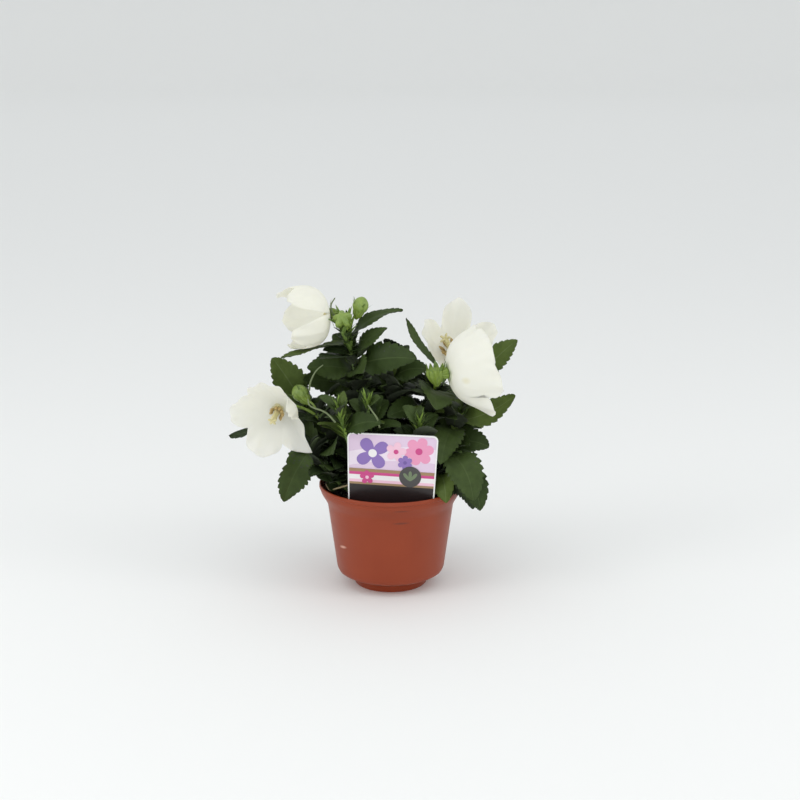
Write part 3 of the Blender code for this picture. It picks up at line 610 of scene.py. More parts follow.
def leaf_ways(base, turn, pitch, length, roll, breadth=LEAF_BREADTH):
    """A leaf from that base, in each of the ways in which it may be set."""
    for swing, lift, share in WAYS:
        heading, rise = math.radians(turn + swing), math.radians(pitch + lift)
        level = math.cos(rise)
        ahead = Vector((math.cos(heading) * level, math.sin(heading) * level, math.sin(rise)))
        size = length * share
        yield Leaf(base, base + ahead * size, size * breadth, LEAF_ARCH, roll)


def rule_leaves(name, shoot):
    """For each leaf of the shoot's rule, from the lowest up, the ways in which it may be set."""
    fate = random.Random(name)
    start = twig_start(shoot)
    for i in range(shoot.leaves):
        height = (i + 0.5) / shoot.leaves
        base = shoot_point(shoot, start + (1 - start) * (0.04 + 0.94 * height))
        turn = shoot.turn + GOLDEN_ANGLE * i + fate.uniform(-12, 12)
        pitch = LOW_PITCH + (TOP_PITCH - LOW_PITCH) * height**1.5 + fate.uniform(-10, 10)
        size = shoot.size + (shoot.top_size - shoot.size) * height**1.8
        length = LEAF_LENGTH * size * fate.uniform(0.92, 1.1)
        roll = OUTWARD_ROLL * math.sin(math.radians(turn) - math.atan2(base.y, base.x))
        yield leaf_ways(base, turn, pitch, length, roll + fate.uniform(-18, 18))


def set_leaf_ways(leaf):
    base = shoot_point(SHOOTS[leaf.shoot], leaf.place)
    for more in (0, 15, -15, 30, -30, 50, -50):
        yield Leaf(base, Vector(leaf.tip), leaf.width, leaf.arch, leaf.roll + more)


def tree_of(node):
    """A CAD node's faces, to be measured against."""
    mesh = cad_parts[node].data
    return BVHTree.FromPolygons([v.co for v in mesh.vertices], [p.vertices for p in mesh.polygons])


solids = {node: tree_of(node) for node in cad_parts}


def lies_on(leaf, tree):
    """Whether the solids hold this very leaf: the corners of its blade lie on them."""
    corners = [leaf_point(leaf, 1 - k**LEAF_CROWDING, t)[0] for k, t in product((0.5, 0.25), (-1, 1))]
    return all(tree.find_nearest(corner, TOUCH)[0] is not None for corner in corners)


waiting = [(leaf.shoot, set_leaf_ways(leaf)) for leaf in SET_LEAVES]
waiting += [(name, ways) for name, shoot in SHOOTS.items() for ways in rule_leaves(name, shoot)]
main_leaves = []
for number, (name, ways) in enumerate(waiting):
    held = next((way for way in ways if lies_on(way, solids[f"foliage_{name}"])), None)
    if held:
        main_leaves.append((name, held._replace(**CURLED.get(number, {}))))

# Young leaves fill the crown between the grown ones: the same rule again, finer, where there is
# room beside everything that the solids hold

YOUNG_LEAVES = 48
YOUNG_SIZE = 0.66
YOUNG_BREADTH = 0.56
YOUNG_ROOT = 0.24
YOUNG_THIRD = 0.66

# How far the crown reaches to the left and to the right at each height, as it is seen from EYE
# at the front, in the plane through the pot's axis
CrownReach = namedtuple("CrownReach", "height left right")

EYE = Vector((0.008, -1.25, 0.475))
EYE_DISTANCE = 1.24
CROWN = [CrownReach(*row) for row in (
    (0.222, -0.044, 0.002),
    (0.214, -0.06, 0.012),
    (0.206, -0.07, 0.02),
    (0.191, -0.07, 0.022),
    (0.182, -0.074, 0.036),
    (0.17, -0.082, 0.056),
    (0.15, -0.085, 0.088),
    (0.131, -0.085, 0.074),
    (0.12, -0.085, 0.079),
    (0.104, -0.088, 0.073),
    (0.093, -0.074, 0.07),
    (0.085, -0.05, 0.07),
    (0.074, 0.035, 0.073),
)]


def in_crown(leaf):
    """Whether the leaf stays inside the crown's outline, as it is seen from the front."""
    for s, t in ((1.0, 0), (0.6, -1), (0.6, 1)):
        place = leaf_point(leaf, s, t)[0]
        seen = EYE + (place - EYE) * (EYE.y / (EYE.y - place.y))
        spans = [(up, low) for up, low in zip(CROWN, CROWN[1:]) if up.height >= seen.z > low.height]
        if not spans:
            return False
        up, low = spans[0]
        share = (seen.z - low.height) / (up.height - low.height)
        left = low.left + (up.left - low.left) * share
        right = low.right + (up.right - low.right) * share
        if not left < seen.x < right:
            return False
    return True


def sheet_tree(leaf, first):
    """The blade as a coarse sheet, from first of its length to its tip."""
    grid = product(range(6), (-1, 0, 1))
    verts = [leaf_point(leaf, first + (1 - first) * i / 5, t)[0] for i, t in grid]
    faces = [(k, k + 1, k + 4, k + 3) for k in range(15) if k % 3 < 2]
    return BVHTree.FromPolygons(verts, faces)


# Some of them are set one by one: wide ones under the upper left bloom, those that hang over the rim
# on both sides, one behind the left bloom, and a few that fill the crown's heart
EDGE_LEAVES = [SetLeaf(*row) for row in (
    ("tall", 0.86, (-0.057, -0.012, 0.1965), 0.028, 0.05, -50),
    ("tall", 0.78, (-0.06, 0.004, 0.19), 0.026, 0.05, -50),
    ("low_left", 0.45, (-0.0594, -0.034, 0.1015), 0.03, 0.1, -20),
    ("front_left", 0.3, (-0.0492, -0.044, 0.1), 0.028, 0.1, 0),
    ("front_left", 0.34, (-0.0425, -0.046, 0.098), 0.028, 0.1, 10),
    ("low_left", 0.3, (-0.052, -0.03, 0.095), 0.026, 0.1, -20),
    ("low_left", 0.62, (-0.0622, -0.02, 0.1108), 0.028, 0.1, -30),
    ("low_left", 0.24, (-0.0547, -0.01, 0.088), 0.02, 0.16, -30),
    ("low_left", 0.24, (-0.0474, -0.024, 0.0905), 0.02, 0.16, 0),
    ("low_right", 0.5, (0.0451, -0.056, 0.087), 0.028, 0.24, 20),
    ("low_right", 0.3, (0.05, -0.052, 0.093), 0.026, 0.2, 20),
    ("centre_back", 0.7, (0.0189, 0.02, 0.1622), 0.024, 0.08, 0),
    ("right_bloom", 0.6, (0.0263, 0.005, 0.1573), 0.024, 0.08, 0),
    ("left_bloom", 0.99, (-0.1357, 0.012, 0.1233), 0.016, 0.02, -35),
    ("centre_back", 0.55, (0.029, 0.032, 0.154), 0.03, 0.05, 0),
    ("back", 0.6, (0.023, 0.036, 0.16), 0.032, 0.05, 0),
    ("back_bloom", 0.5, (0.011, 0.04, 0.153), 0.03, 0.05, 0),
    ("right_bloom", 0.5, (0.012, 0.02, 0.15), 0.026, 0.08, 0),
    ("back_left", 0.6, (-0.043, 0.03, 0.16), 0.028, 0.05, 0),
    ("low_right", 0.45, (0.068, -0.04, 0.0765), 0.028, 0.3, 20),
    ("low_right", 0.35, (0.0474, -0.058, 0.091), 0.024, 0.2, 0),
)]


def edge_ways(leaf):
    """The same leaf as it is seen from the front, but nearer, further, slimmer or from other joints."""
    joints, aways = (0.0, 0.12, -0.12, 0.24), (0.0, -0.008, 0.008, -0.016, 0.016, 0.026)
    for slim, joint, away, more in product((1.0, 0.8), joints, aways, (0, 25, -25, 50)):
        base = shoot_point(SHOOTS[leaf.shoot], min(0.99, max(0.12, leaf.place + joint)))
        tip = EYE + (Vector(leaf.tip) - EYE) * (1.0 + away / EYE_DISTANCE)
        yield Leaf(base, tip, leaf.width * slim, leaf.arch, leaf.roll + more)


# The tallest shoot and the three behind the label show their tops, from these shares of their
# height up, so that no young leaf stands before them
OPEN_SHOOTS = {"tall": 0.93, "front_left": 0.74, "front_middle": 0.92, "front_right": 0.86}
OPEN_ASIDE = 0.0045
OPEN_REACH = 0.05


def open_front(name, aside):
    """An upright sheet from a shoot's top towards the front."""
    low = shoot_point(SHOOTS[name], OPEN_SHOOTS[name]) + Vector((aside, -0.003, 0.0))
    high = shoot_point(SHOOTS[name], 1.0) + Vector((aside, -0.003, 0.01))
    ahead = (EYE - high).normalized() * OPEN_REACH
    return BVHTree.FromPolygons([low, low + ahead, high + ahead, high], [(0, 1, 2, 3)])


young_leaves = []
young_sheets = [open_front(*spot) for spot in product(OPEN_SHOOTS, (-OPEN_ASIDE, 0.0, OPEN_ASIDE))]


def let_in(name, ways):
    """Adds a young leaf in the first way that clears the solids and the young leaves before it."""
    foot, own = f"stem_{name}", f"foliage_{name}"
    for leaf in ways:
        whole, outer = sheet_tree(leaf, 0.0), sheet_tree(leaf, YOUNG_ROOT)
        meets = [(outer if node == own else whole, tree) for node, tree in solids.items() if node != foot]
        meets += [(outer, sheet) for sheet in young_sheets]
        if not any(sheet.overlap(tree) for sheet, tree in meets):
            young_leaves.append((name, leaf))
            young_sheets.append(outer)
            return


for leaf in EDGE_LEAVES:
    let_in(leaf.shoot, edge_ways(leaf))
for name, shoot in SHOOTS.items():
    fate = random.Random("young " + name)
    start = twig_start(shoot)
    for i in range(YOUNG_LEAVES):
        height = (i + 0.3) / YOUNG_LEAVES
        base = shoot_point(shoot, start + (1 - start) * (0.02 + 0.96 * height))
        turn = shoot.turn + 70 + GOLDEN_ANGLE * i + fate.uniform(-15, 15)
        pitch = LOW_PITCH + (TOP_PITCH - LOW_PITCH) * height + fate.uniform(-14, 14)
        length = LEAF_LENGTH * YOUNG_SIZE * (1.25 - 0.6 * height) * fate.uniform(0.85, 1.15)
        length *= YOUNG_THIRD if i % 3 == 2 else 1.0
        ways = leaf_ways(base, turn, pitch, length, fate.uniform(-40, 40), YOUNG_BREADTH)
        let_in(name, filter(in_crown, ways))


def leaf_grid():
    """The faces of a blade: an upper sheet, then a lower one that shares its border."""
    rows, columns = LEAF_ROWS + 1, len(LEAF_COLUMNS)
    upper = {p: k for k, p in enumerate(product(range(rows), range(columns)))}
    inside = list(product(range(1, rows - 1), range(1, columns - 1)))
    lower = upper | {p: len(upper) + k for k, p in enumerate(inside)}
    faces, parts = [], []
    for i, j in product(range(rows - 1), range(columns - 1)):
        ring = ((i, j), (i, j + 1), (i + 1, j + 1), (i + 1, j))
        rib = LEAF_COLUMNS[j] < 0 < LEAF_COLUMNS[j + 1]
        faces += [tuple(upper[p] for p in ring), tuple(lower[p] for p in reversed(ring))]
        parts += ["rib", "rib"] if rib else ["blade", "back"]
    return faces, parts, [*upper, *inside]


GRID_FACES, GRID_PARTS, GRID_ORDER = leaf_grid()


def tooth(i):
    """How far row i of the margin stands out: each tooth swells from its notch to its point."""
    near_ends = min(1.0, i / 5, (LEAF_ROWS - i) / 3)
    return 1.0 - TOOTH_DEPTH * near_ends * TOOTH_NOTCHES[i % TOOTH_ROWS]


def blade(leaf, wave):
    """The vertices of a leaf's closed blade, toothed, quilted and a little wavy."""
    verts = []
    scale = (leaf.tip - leaf.base).length / LEAF_LENGTH
    count = (LEAF_ROWS + 1) * len(LEAF_COLUMNS)
    for k, (i, j) in enumerate(GRID_ORDER):
        s, t = 1.0 - (1.0 - i / LEAF_ROWS) ** LEAF_CROWDING, LEAF_COLUMNS[j]
        border, upper = abs(t) == 1.0, k < count
        if border:
            t *= tooth(i)
            s = min(1.0, s + TOOTH_LEAN / LEAF_ROWS * (i % TOOTH_ROWS == TOOTH_ROWS - 1))
        place, facing = leaf_point(leaf, s, t)
        inner = 0.0 if border or i in (0, LEAF_ROWS) else 1.0
        across = abs(t)
        rib = across < 0.1
        vein = 0.5 + 0.5 * math.cos(2 * math.pi * (s * LEAF_VEINS - VEIN_SLANT * LEAF_VEINS * across))
        quilt = -QUILT_DEPTH * scale * vein**3 * min(1.0, 3 * across) * inner
        ripple = RIPPLE * scale * math.sin(s * 9 + wave + 2.2 * t) * across * across
        thick = (RIB_THICKNESS * (1 - 0.7 * s) if rib and not upper else BLADE_THICKNESS) / 2 * inner
        rise = quilt + ripple - RIB_GROOVE * inner * rib * upper + (thick if upper else -thick)
        verts.append(tuple(place + facing * rise))
    return verts


LEAF_TINTS = {
    "deep": (0.022, 0.037, 0.011),
    "dark": (0.036, 0.06, 0.014),
    "grown": (0.049, 0.077, 0.02),
    "fresh": (0.084, 0.124, 0.026),
    "young": (0.1, 0.16, 0.032),
    "tip": (0.21, 0.32, 0.06),
}
UNDER_TINTS = {"dull": (0.056, 0.068, 0.044), "pale": (0.085, 0.112, 0.056)}
RIB_TINTS = {"rib": (0.064, 0.095, 0.03), "pale rib": (0.115, 0.16, 0.052)}
PATCH = 0.74
# Painted shade on the leaves: the crown's size, foot and rise for the grown ones, and the heights under
# which young ones are darker
CROWN_RADIUS = 0.075
CROWN_FOOT = 0.09
CROWN_RISE = 0.12
LOWER_HALF = 0.15
LOWEST = 0.135

leaf_finishes = {}
for tint, colour in {**LEAF_TINTS, **UNDER_TINTS, **RIB_TINTS}.items():
    satin = 0.5 if tint in LEAF_TINTS else 0.62
    patch = Tone([part * PATCH for part in colour], 0.4, 0.007)
    leaf_finishes[tint] = finish(f"leaf {tint}", colour, satin, patch, relief=0.00014, grain=0.0011)
    joined(shader_of(leaf_finishes[tint]), Specular_IOR_Level=0.16)
LEAF_MARKS = {tint: number for number, tint in enumerate(leaf_finishes)}


def leaf_marks(tint):
    """The number of each face's finish, for a leaf of that tint."""
    light = tint in ("fresh", "young", "tip")
    wear = {"blade": tint, "back": "pale" if light else "dull", "rib": "pale rib" if light else "rib"}
    return [LEAF_MARKS[wear[part]] for part in GRID_PARTS]


def grown_tint_with_shade(leaf, fate):
    """Grown leaves' tint, painted with the crown's shade: darkest in its foot and heart, lightest at its top
    and outside.
    """
    middle = (leaf.base + leaf.tip) / 2
    out = Vector((middle.x, middle.y)).length / CROWN_RADIUS
    light = 0.5 * (middle.z - CROWN_FOOT) / CROWN_RISE + 0.4 * out + fate.uniform(-0.16, 0.16)
    return ("deep", "dark", "grown", "fresh")[max(0, min(3, int(light * 4.2)))]


def young_tint_with_shade(leaf, fate):
    """Young leaves are of every green, with painted shade: darker in the crown's lower half, darkest low on
    its left.
    """
    tint = fate.choice(("deep", "dark", "grown", "grown", "fresh", "fresh"))
    if leaf.tip.z < LOWER_HALF:
        tint = fate.choice(("deep", "deep", "dark", "grown", "fresh"))
    return "deep" if leaf.tip.z < LOWEST and leaf.tip.x < 0 else tint


leaf_heaps = {name: Pile() for name in SHOOTS}
leaf_fate = random.Random(23)
for kind, tint_of in ((main_leaves, grown_tint_with_shade), (young_leaves, young_tint_with_shade)):
    for name, leaf in kind:
        tint = tint_of(leaf, leaf_fate)
        leaf_heaps[name].add(blade(leaf, leaf_fate.uniform(0, 6)), GRID_FACES, leaf_marks(tint))


# Most shoots end in a tuft of narrow, upright, yellow-green leaflets, the youngest growth on the
# plant. On the three shoots behind the label they stand in tiers round the buds to come.

SEPAL_CURL = 14
SEPAL_STEPS = 8

# The number of leaflets, their length, where on the shoot the highest and the lowest stand, and
# how far the lowest leans out
Tuft = namedtuple("Tuft", "shoot leaflets length high low lean width", defaults=(1.0, 0.95, 40, 0.0028))

TUFTS = [
    Tuft("front_left", 30, 0.0125, low=0.74, lean=32),
    Tuft("front_middle", 16, 0.0145, lean=20),
    Tuft("front_right", 20, 0.012, low=0.88, lean=30),
    Tuft("tall", 26, 0.012, 1.06, 0.94, 66, 0.004),
    Tuft("centre", 9, 0.011),
    Tuft("centre_back", 9, 0.011),
    Tuft("left", 7, 0.009),
    Tuft("right", 7, 0.009),
]
OUTER_SHOOTS = ("back_left", "far_right", "back", "low_back_left", "low_back_right")
TUFTS += [Tuft(name, 8, 0.01) for name in OUTER_SHOOTS]


def along_axis(place, ahead, spin=0.0):
    """The frame of a bud or a bloom: its own Z runs along ahead."""
    turn = ahead.to_track_quat("Z", "Y").to_matrix().to_4x4()
    return Matrix.Translation(place) @ turn @ Matrix.Rotation(spin, 4, "Z")


def sepal(frame_at, angle, foot, length, lean, width, heap, mark):
    """A narrow pointed blade that stands on the cup's edge and leans out by so many degrees."""
    verts = []
    out, side = polar(1.0, angle), Vector((-math.sin(angle), math.cos(angle), 0.0))
    for i in range(SEPAL_STEPS + 1):
        s = i / SEPAL_STEPS
        bend = math.radians(lean + SEPAL_CURL * s)
        run = out * math.sin(bend) + UP * math.cos(bend)
        middle = out * foot[0] + UP * foot[1] + run * length * s
        half = width / 2 * max(0.04, (1 - s) ** 0.7 * (0.8 + 0.6 * s))
        lift = run.cross(side) * 0.0003 * (1 - s)
        for across, thick in ((-1, 0.0), (0, 1.0), (1, 0.0), (0, -1.0)):
            verts.append(tuple(frame_at @ (middle + side * half * across + lift * thick)))
    tip = tuple(range(4 * SEPAL_STEPS, 4 * SEPAL_STEPS + 4))
    heap.add(verts, [*ring_walls(SEPAL_STEPS + 1, 4), (3, 2, 1, 0), tip], mark)


for tuft in TUFTS:
    shoot = SHOOTS[tuft.shoot]
    fate = random.Random("tuft " + tuft.shoot)
    for i in range(tuft.leaflets):
        low = i / (tuft.leaflets - 1)
        place = shoot_point(shoot, tuft.high + (tuft.low - tuft.high) * low)
        ahead = shoot_point(shoot, 1.0) - shoot_point(shoot, 0.9)
        sepal(
            along_axis(place, ahead.lerp(UP * ahead.length, 0.6)),
            math.radians(GOLDEN_ANGLE * i + fate.uniform(-20, 20)), (0.0006, 0.0),
            tuft.length * fate.uniform(0.75, 1.1), tuft.lean * (0.15 + 0.85 * low),
            tuft.width, leaf_heaps[tuft.shoot], LEAF_MARKS["tip" if i % 3 else "young"],
        )

for name, heap in leaf_heaps.items():
    leaves = heap.as_object(f"leaves_{name}", *leaf_finishes.values(), crease=60)
    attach(leaves, "root")
    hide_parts(f"foliage_{name}")


# The buds are ribbed yellow-green balloons, closed along five seams, each on a short stalk. A bud
# sits in a cone-shaped green cup with five narrow sepals round it. Stalks, cups and sepals of the
# open blooms are the same, a little larger.

Bud = namedtuple("Bud", "shoot place centre radius fold")

BUDS = [
    Bud("tall", 0.97, (-0.0244, 0.002, 0.2379), 0.0066, 0.13),
    Bud("tall", 0.99, (-0.0389, -0.012, 0.2292), 0.0084, 0.4),
    Bud("right_bloom", 0.97, (0.0345, 0.008, 0.1759), 0.006, 0.13),
    Bud("left_bloom", 0.98, (-0.0748, 0.001, 0.164), 0.007, 0.1),
    Bud("back", 0.98, (0.003, 0.062, 0.185), 0.006, 0.13),
    Bud("back_left", 0.98, (-0.0344, 0.058, 0.1804), 0.0055, 0.13),
]
SEAMS = 5
BUD_POINT = 0.1
SEPALS = 5
CUP_RIBS = 0.11
BUD_SKIN, CUP_GREEN, SEPAL_GREEN, STALK_PALE, STRAW_DRY, BRACT_GREEN = range(6)


def stalk(start, end, steps, heap, stout=1.0, ridges=0.1):
    """A stalk that leaves its twig upwards and bends over to where it ends."""
    middle = Vector((start.x, start.y, end.z)).lerp(end, 0.25)
    points = [bezier(start, middle, end, i / steps) for i in range(steps + 1)]
    heap.add(*tube(points, [STALK_RADIUS * stout] * (steps + 1), 10, ridges), CUP_GREEN)


def lathe(profile, frame_at, sides, swell):
    """A shape turned round its own Z from (radius, height), swollen by a rule of angle and height."""
    verts, last = [], len(profile) - 1
    for (i, (radius, height)), k in product(enumerate(profile), range(sides)):
        angle = 2 * math.pi * k / sides
        verts.append(tuple(frame_at @ polar(radius * (1.0 + swell(angle, i / last)), angle, height)))
    foot, head = tuple(reversed(range(sides))), tuple(range(last * sides, (last + 1) * sides))
    return verts, [*ring_walls(len(profile), sides), foot, head]


def seamed(fold):
    """Five pinched seams that run over a bud and meet at its tip, the deeper the wider."""
    narrow = 6 if fold < 0.2 else 1.6

    def swell(angle, share):
        seam = (0.5 + 0.5 * math.cos(SEAMS * angle)) ** narrow
        return -fold * seam * math.sin(math.pi * share) ** 0.5

    return swell


def rib_swell(angle, share):
    """Ten low ribs round the cup under a bud or bloom."""
    return CUP_RIBS * math.cos(2 * SEPALS * angle) * math.sin(math.pi * share)


def bud_ball(bud, ahead, heap):
    """The closed bud. One that is about to open is folded deeply between its seams, and flatter."""
    flat = 1.05 - 1.4 * max(0.0, bud.fold - 0.13)
    profile = []
    for i in range(15):
        angle = math.pi * (i / 14) - math.pi / 2
        point = max(0.0, math.sin(angle)) ** 5 * BUD_POINT
        height = bud.radius * (math.sin(angle) * flat + point)
        profile.append((max(bud.radius * math.cos(angle), 0.00012), height))
    heap.add(*lathe(profile, along_axis(Vector(bud.centre), ahead), 60, seamed(bud.fold)), BUD_SKIN)


# The cup's radius and height from its foot to its mouth, against its size
CUP = [(0.22, -1.35), (0.34, -1.15), (0.62, -0.8), (0.86, -0.35), (0.98, 0.1), (0.96, 0.4)]
CUP += [(0.7, 0.52), (0.05, 0.5)]
SEPAL_FOOT = (0.92, 0.25)
SEPAL_WIDTH = 0.62


def calyx(place, ahead, size, lean, length, spin, heap):
    """The ribbed green cup under a bud or bloom, with its foot on the stalk, and its sepals."""
    frame_at = along_axis(place, ahead, spin)
    profile = rounded([(out * size, height * size) for out, height in CUP], 3)
    heap.add(*lathe(profile, frame_at, 60, rib_swell), CUP_GREEN)
    for i in range(SEPALS):
        angle = 2 * math.pi * (i + 0.5) / SEPALS
        edge = [part * size for part in SEPAL_FOOT]
        sepal(frame_at, angle, edge, length, lean, SEPAL_WIDTH * size, heap, SEPAL_GREEN)


# Small leafy bracts stand close together on the stalk under the two highest buds
BRACTS = 30
BRACT_WIDTH = 0.0046
BRACT_STALK = 0.0016

bud_heap = Pile()
bract_foot, bract_head = shoot_point(SHOOTS["tall"], 0.9), Vector(BUDS[1].centre) - UP * 0.01
for i in range(BRACTS):
    low = 1.0 - i / (BRACTS - 1)
    stand = along_axis(bract_head.lerp(bract_foot, low), UP)
    lean, long = 22 + 12 * (i % 3) + 14 * low, 0.0075 + 0.001 * (i % 4) + 0.002 * low
    angle = math.radians(GOLDEN_ANGLE * i)
    green = BRACT_GREEN if i % 3 else SEPAL_GREEN
    sepal(stand, angle, (0.0008, 0.0), long, lean, BRACT_WIDTH, bud_heap, green)
bract_line = [bract_foot, bract_foot.lerp(bract_head, 0.5), bract_head]
bud_heap.add(*tube(bract_line, [BRACT_STALK] * 3, 12, ridges=0.1), SEPAL_GREEN)
for bud in BUDS:
    start, centre, size = shoot_point(SHOOTS[bud.shoot], bud.place), Vector(bud.centre), bud.radius
    ahead = (centre - start).normalized()
    bud_ball(bud, ahead, bud_heap)
    calyx(centre - ahead * size * 0.95, ahead, size * 0.66, 16, size * 1.7, 0.3, bud_heap)
    stalk(start, centre - ahead * size * 1.1, 14, bud_heap)

# A spent bloom has left its cup, with the sepals upright, beside the right bloom. Thin pale
# leafstalks stand out in front of the leaves, one carries the narrow rolled leaf, and a dry straw
# lies across the compost's edge.
SPENT_CUP = Vector((0.0372, -0.024, 0.1868))
SPENT_AHEAD = Vector((-0.06, 0.0, 1.0))
SPENT_SIZE = 0.0078
SPENT_SEPALS = 9
LOOSE_STALKS = [
    [(-0.055, -0.012, 0.1912), (-0.0608, -0.012, 0.1861), (-0.0651, -0.012, 0.1777),
     (-0.0668, -0.01, 0.1693)],
    [(-0.0654, -0.05, 0.1721), (-0.0645, -0.051, 0.1676), (-0.0607, -0.05, 0.1647),
     (-0.0544, -0.049, 0.1622), (-0.0496, -0.048, 0.1589), (-0.044, -0.046, 0.152)],
    [(-0.0175, -0.052, 0.1677), (-0.0144, -0.052, 0.1627), (-0.0104, -0.05, 0.1561),
     (-0.0085, -0.044, 0.147)],
    [(-0.0452, 0.0, 0.2446), (-0.0485, 0.0, 0.2388), (-0.0477, 0.0, 0.233),
     (-0.046, 0.001, 0.23)],
    [(0.038, -0.004, 0.1705), (0.0382, -0.004, 0.18), (0.0376, -0.004, 0.1905)],
]
STRAW = [
    (-0.0539, -0.01, 0.0887), (-0.0501, -0.02, 0.0866), (-0.043, -0.03, 0.0915),
    (-0.0313, -0.036, 0.0968),
]
calyx(SPENT_CUP, SPENT_AHEAD, SPENT_SIZE, -4, 0.007, 0.0, bud_heap)
spent_frame = along_axis(SPENT_CUP, SPENT_AHEAD)
for i in range(SPENT_SEPALS):
    angle = 2 * math.pi * (i + 0.3) / SPENT_SEPALS
    sepal(spent_frame, angle, (0.86 * SPENT_SIZE, 0.0), 0.0076, -2, 0.0052, bud_heap, CUP_GREEN)
spent_foot = shoot_point(SHOOTS["right_bloom"], 0.97)
stalk(spent_foot, SPENT_CUP - UP * 0.008, 8, bud_heap, ridges=0.0)
for route in [*LOOSE_STALKS, STRAW]:
    points = [Vector(p) for p in rounded(route, 5)]
    radii = [0.0005 + 0.0004 * i / (len(points) - 1) for i in range(len(points))]
    bud_heap.add(*tube(points, radii, 8), STRAW_DRY if route is STRAW else STALK_PALE)

bud_tone = Tone((0.13, 0.215, 0.036), 0.6, 0.004)
bud_finishes = [
    finish("bud skin", (0.27, 0.365, 0.075), 0.42, bud_tone, relief=0.00005, grain=0.0008),
    finish("cup green", (0.215, 0.305, 0.038), 0.5, Tone((0.13, 0.2, 0.03), 0.6, 0.003)),
    finish("sepal green", (0.13, 0.205, 0.042), 0.5),
    finish("pale leafstalk", (0.16, 0.2, 0.095), 0.55),
    finish("dry straw", (0.3, 0.24, 0.13), 0.7),
    finish("bract green", (0.052, 0.086, 0.022), 0.5),
]


# The four open blooms are wide cups of thick cream petals, joined at their base and parted into
# five pointed lobes. Each lobe has a crease down its middle and fine veins, and its edge waves
# and rolls out. A stout style stands in the cup with five curled stigmas and spent tan anthers.

# For each bloom's five lobes: how far they reach, how deep the gap after each is, how much they curl
# in (-) or out (+), how sharp their tips are, how far the tips and the gaps have slipped round;
# then which way the style leans and how long it is
BLUNT, STILL = (0.2, 0.2, 0.2, 0.2, 0.2), (0, 0, 0, 0, 0)
Bloom = namedtuple(
    "Bloom", "shoot place base facing radius waist depth turn reach gaps curl sharp sway slip lean style",
    defaults=(BLUNT, STILL, STILL, (0, 0, 0), 1.0),
)

BLOOMS = {
    "bloom_upper_left": Bloom(
        "tall", 0.92, (-0.05, 0.004, 0.2305), (-0.975, -0.21, -0.08), 0.023, 0.028, 0.0362, 49,
        (1, 1.1, 1, 1, 1), (0.29, 0.29, 0.29, 0.29, 0.76), (0.001, 0, 0, 0, 0), style=0.22,
    ),
    "bloom_left": Bloom(
        "left_bloom", 0.93, (-0.092, -0.012, 0.154), (-0.21, -0.93, -0.3), 0.0374, 0.022, 0.0206, 27,
        (0.82, 0.98, 0.97, 1, 1.11), (0.27, 0.24, 0.29, 0.29, 0.64), (-0.014, 0, 0, 0, -0.003),
        sharp=(0.2, 0.2, 0.2, 0.2, 0.8), sway=(0, 0, 0, 0, 0.14),
    ),
    "bloom_upper_right": Bloom(
        "back_bloom", 0.98, (0.0545, 0.074, 0.1815), (0.13, -0.785, 0.605), 0.033, 0.022, 0.0355, 13,
        (1, 1.02, 1, 1, 1), (0.46, 0.46, 0.29, 0.29, 0.29), (0, 0.003, 0, 0, 0),
        lean=(-0.48, 0, 0.18), style=1.4,
    ),
    "bloom_right": Bloom(
        "right_bloom", 0.88, (0.0472, -0.026, 0.188), (0.955, 0.255, 0.11), 0.0358, 0.029, 0.0326, 57,
        (0.95, 0.95, 1.04, 1.0, 1), (0.16, 0.07, 0.29, 0.24, 0.2), (0, 0, 0, 0.005, 0),
        sharp=(0.2, 0.2, 0.8, 0.4, 0.2), sway=(0, 0, 0.03, -0.48, 0), slip=(0, 0, -0.48, -0.3, 0),
    ),
}
PETALS = 5
CALYX_RADIUS = 0.0046
CALYX_LEAN = 84
CALYX_SEPAL = 0.0085
STYLE_LENGTH = 0.017
STYLE_RADIUS = 0.0026
STIGMAS = 5
STIGMA_RADII = (0.0012, 0.0012, 0.0011, 0.001, 0.0009, 0.0005)
ANTHERS = 9
ANTHER_RADII = (0.0007, 0.0013, 0.0015, 0.0012, 0.0004)
FILAMENT = ((0.0014, 0.0008), (0.0034, 0.0018), (0.0042, 0.004))
FILAMENT_RADII = (0.001, 0.0008, 0.0004)
PETAL_COLUMNS = 24
PETAL_ROWS = 30
PETAL_THICKNESS = 0.00035
PETAL_VEINS = 9
VEIN_HEIGHT = 0.0001
CREASE_HEIGHT = 0.00045
CREASE_WIDTH = 0.1
VALLEY_DEPTH = 0.0004
VALLEY_WIDTH = 0.16
EDGE_WAVE = 0.0011
EDGE_WAVES = 3.1
CURL_START = 0.4
HEART_REACH = 0.08
FOOT_REACH = 0.1
CREAM, PETAL_FOOT, HEART, STYLE_CREAM, ANTHER_TAN = range(5)


def cup_profile(bloom, reach):
    """How far out from its axis, and along it, the cup's wall lies at reach of the way to a tip."""
    back = 1.0 - reach
    bottom = Vector((bloom.waist, 0.0)) * 3 * back * back * reach
    side = Vector((bloom.waist, bloom.depth * 0.55)) * 3 * back * reach * reach
    return bottom + side + Vector((bloom.radius, bloom.depth)) * reach**3


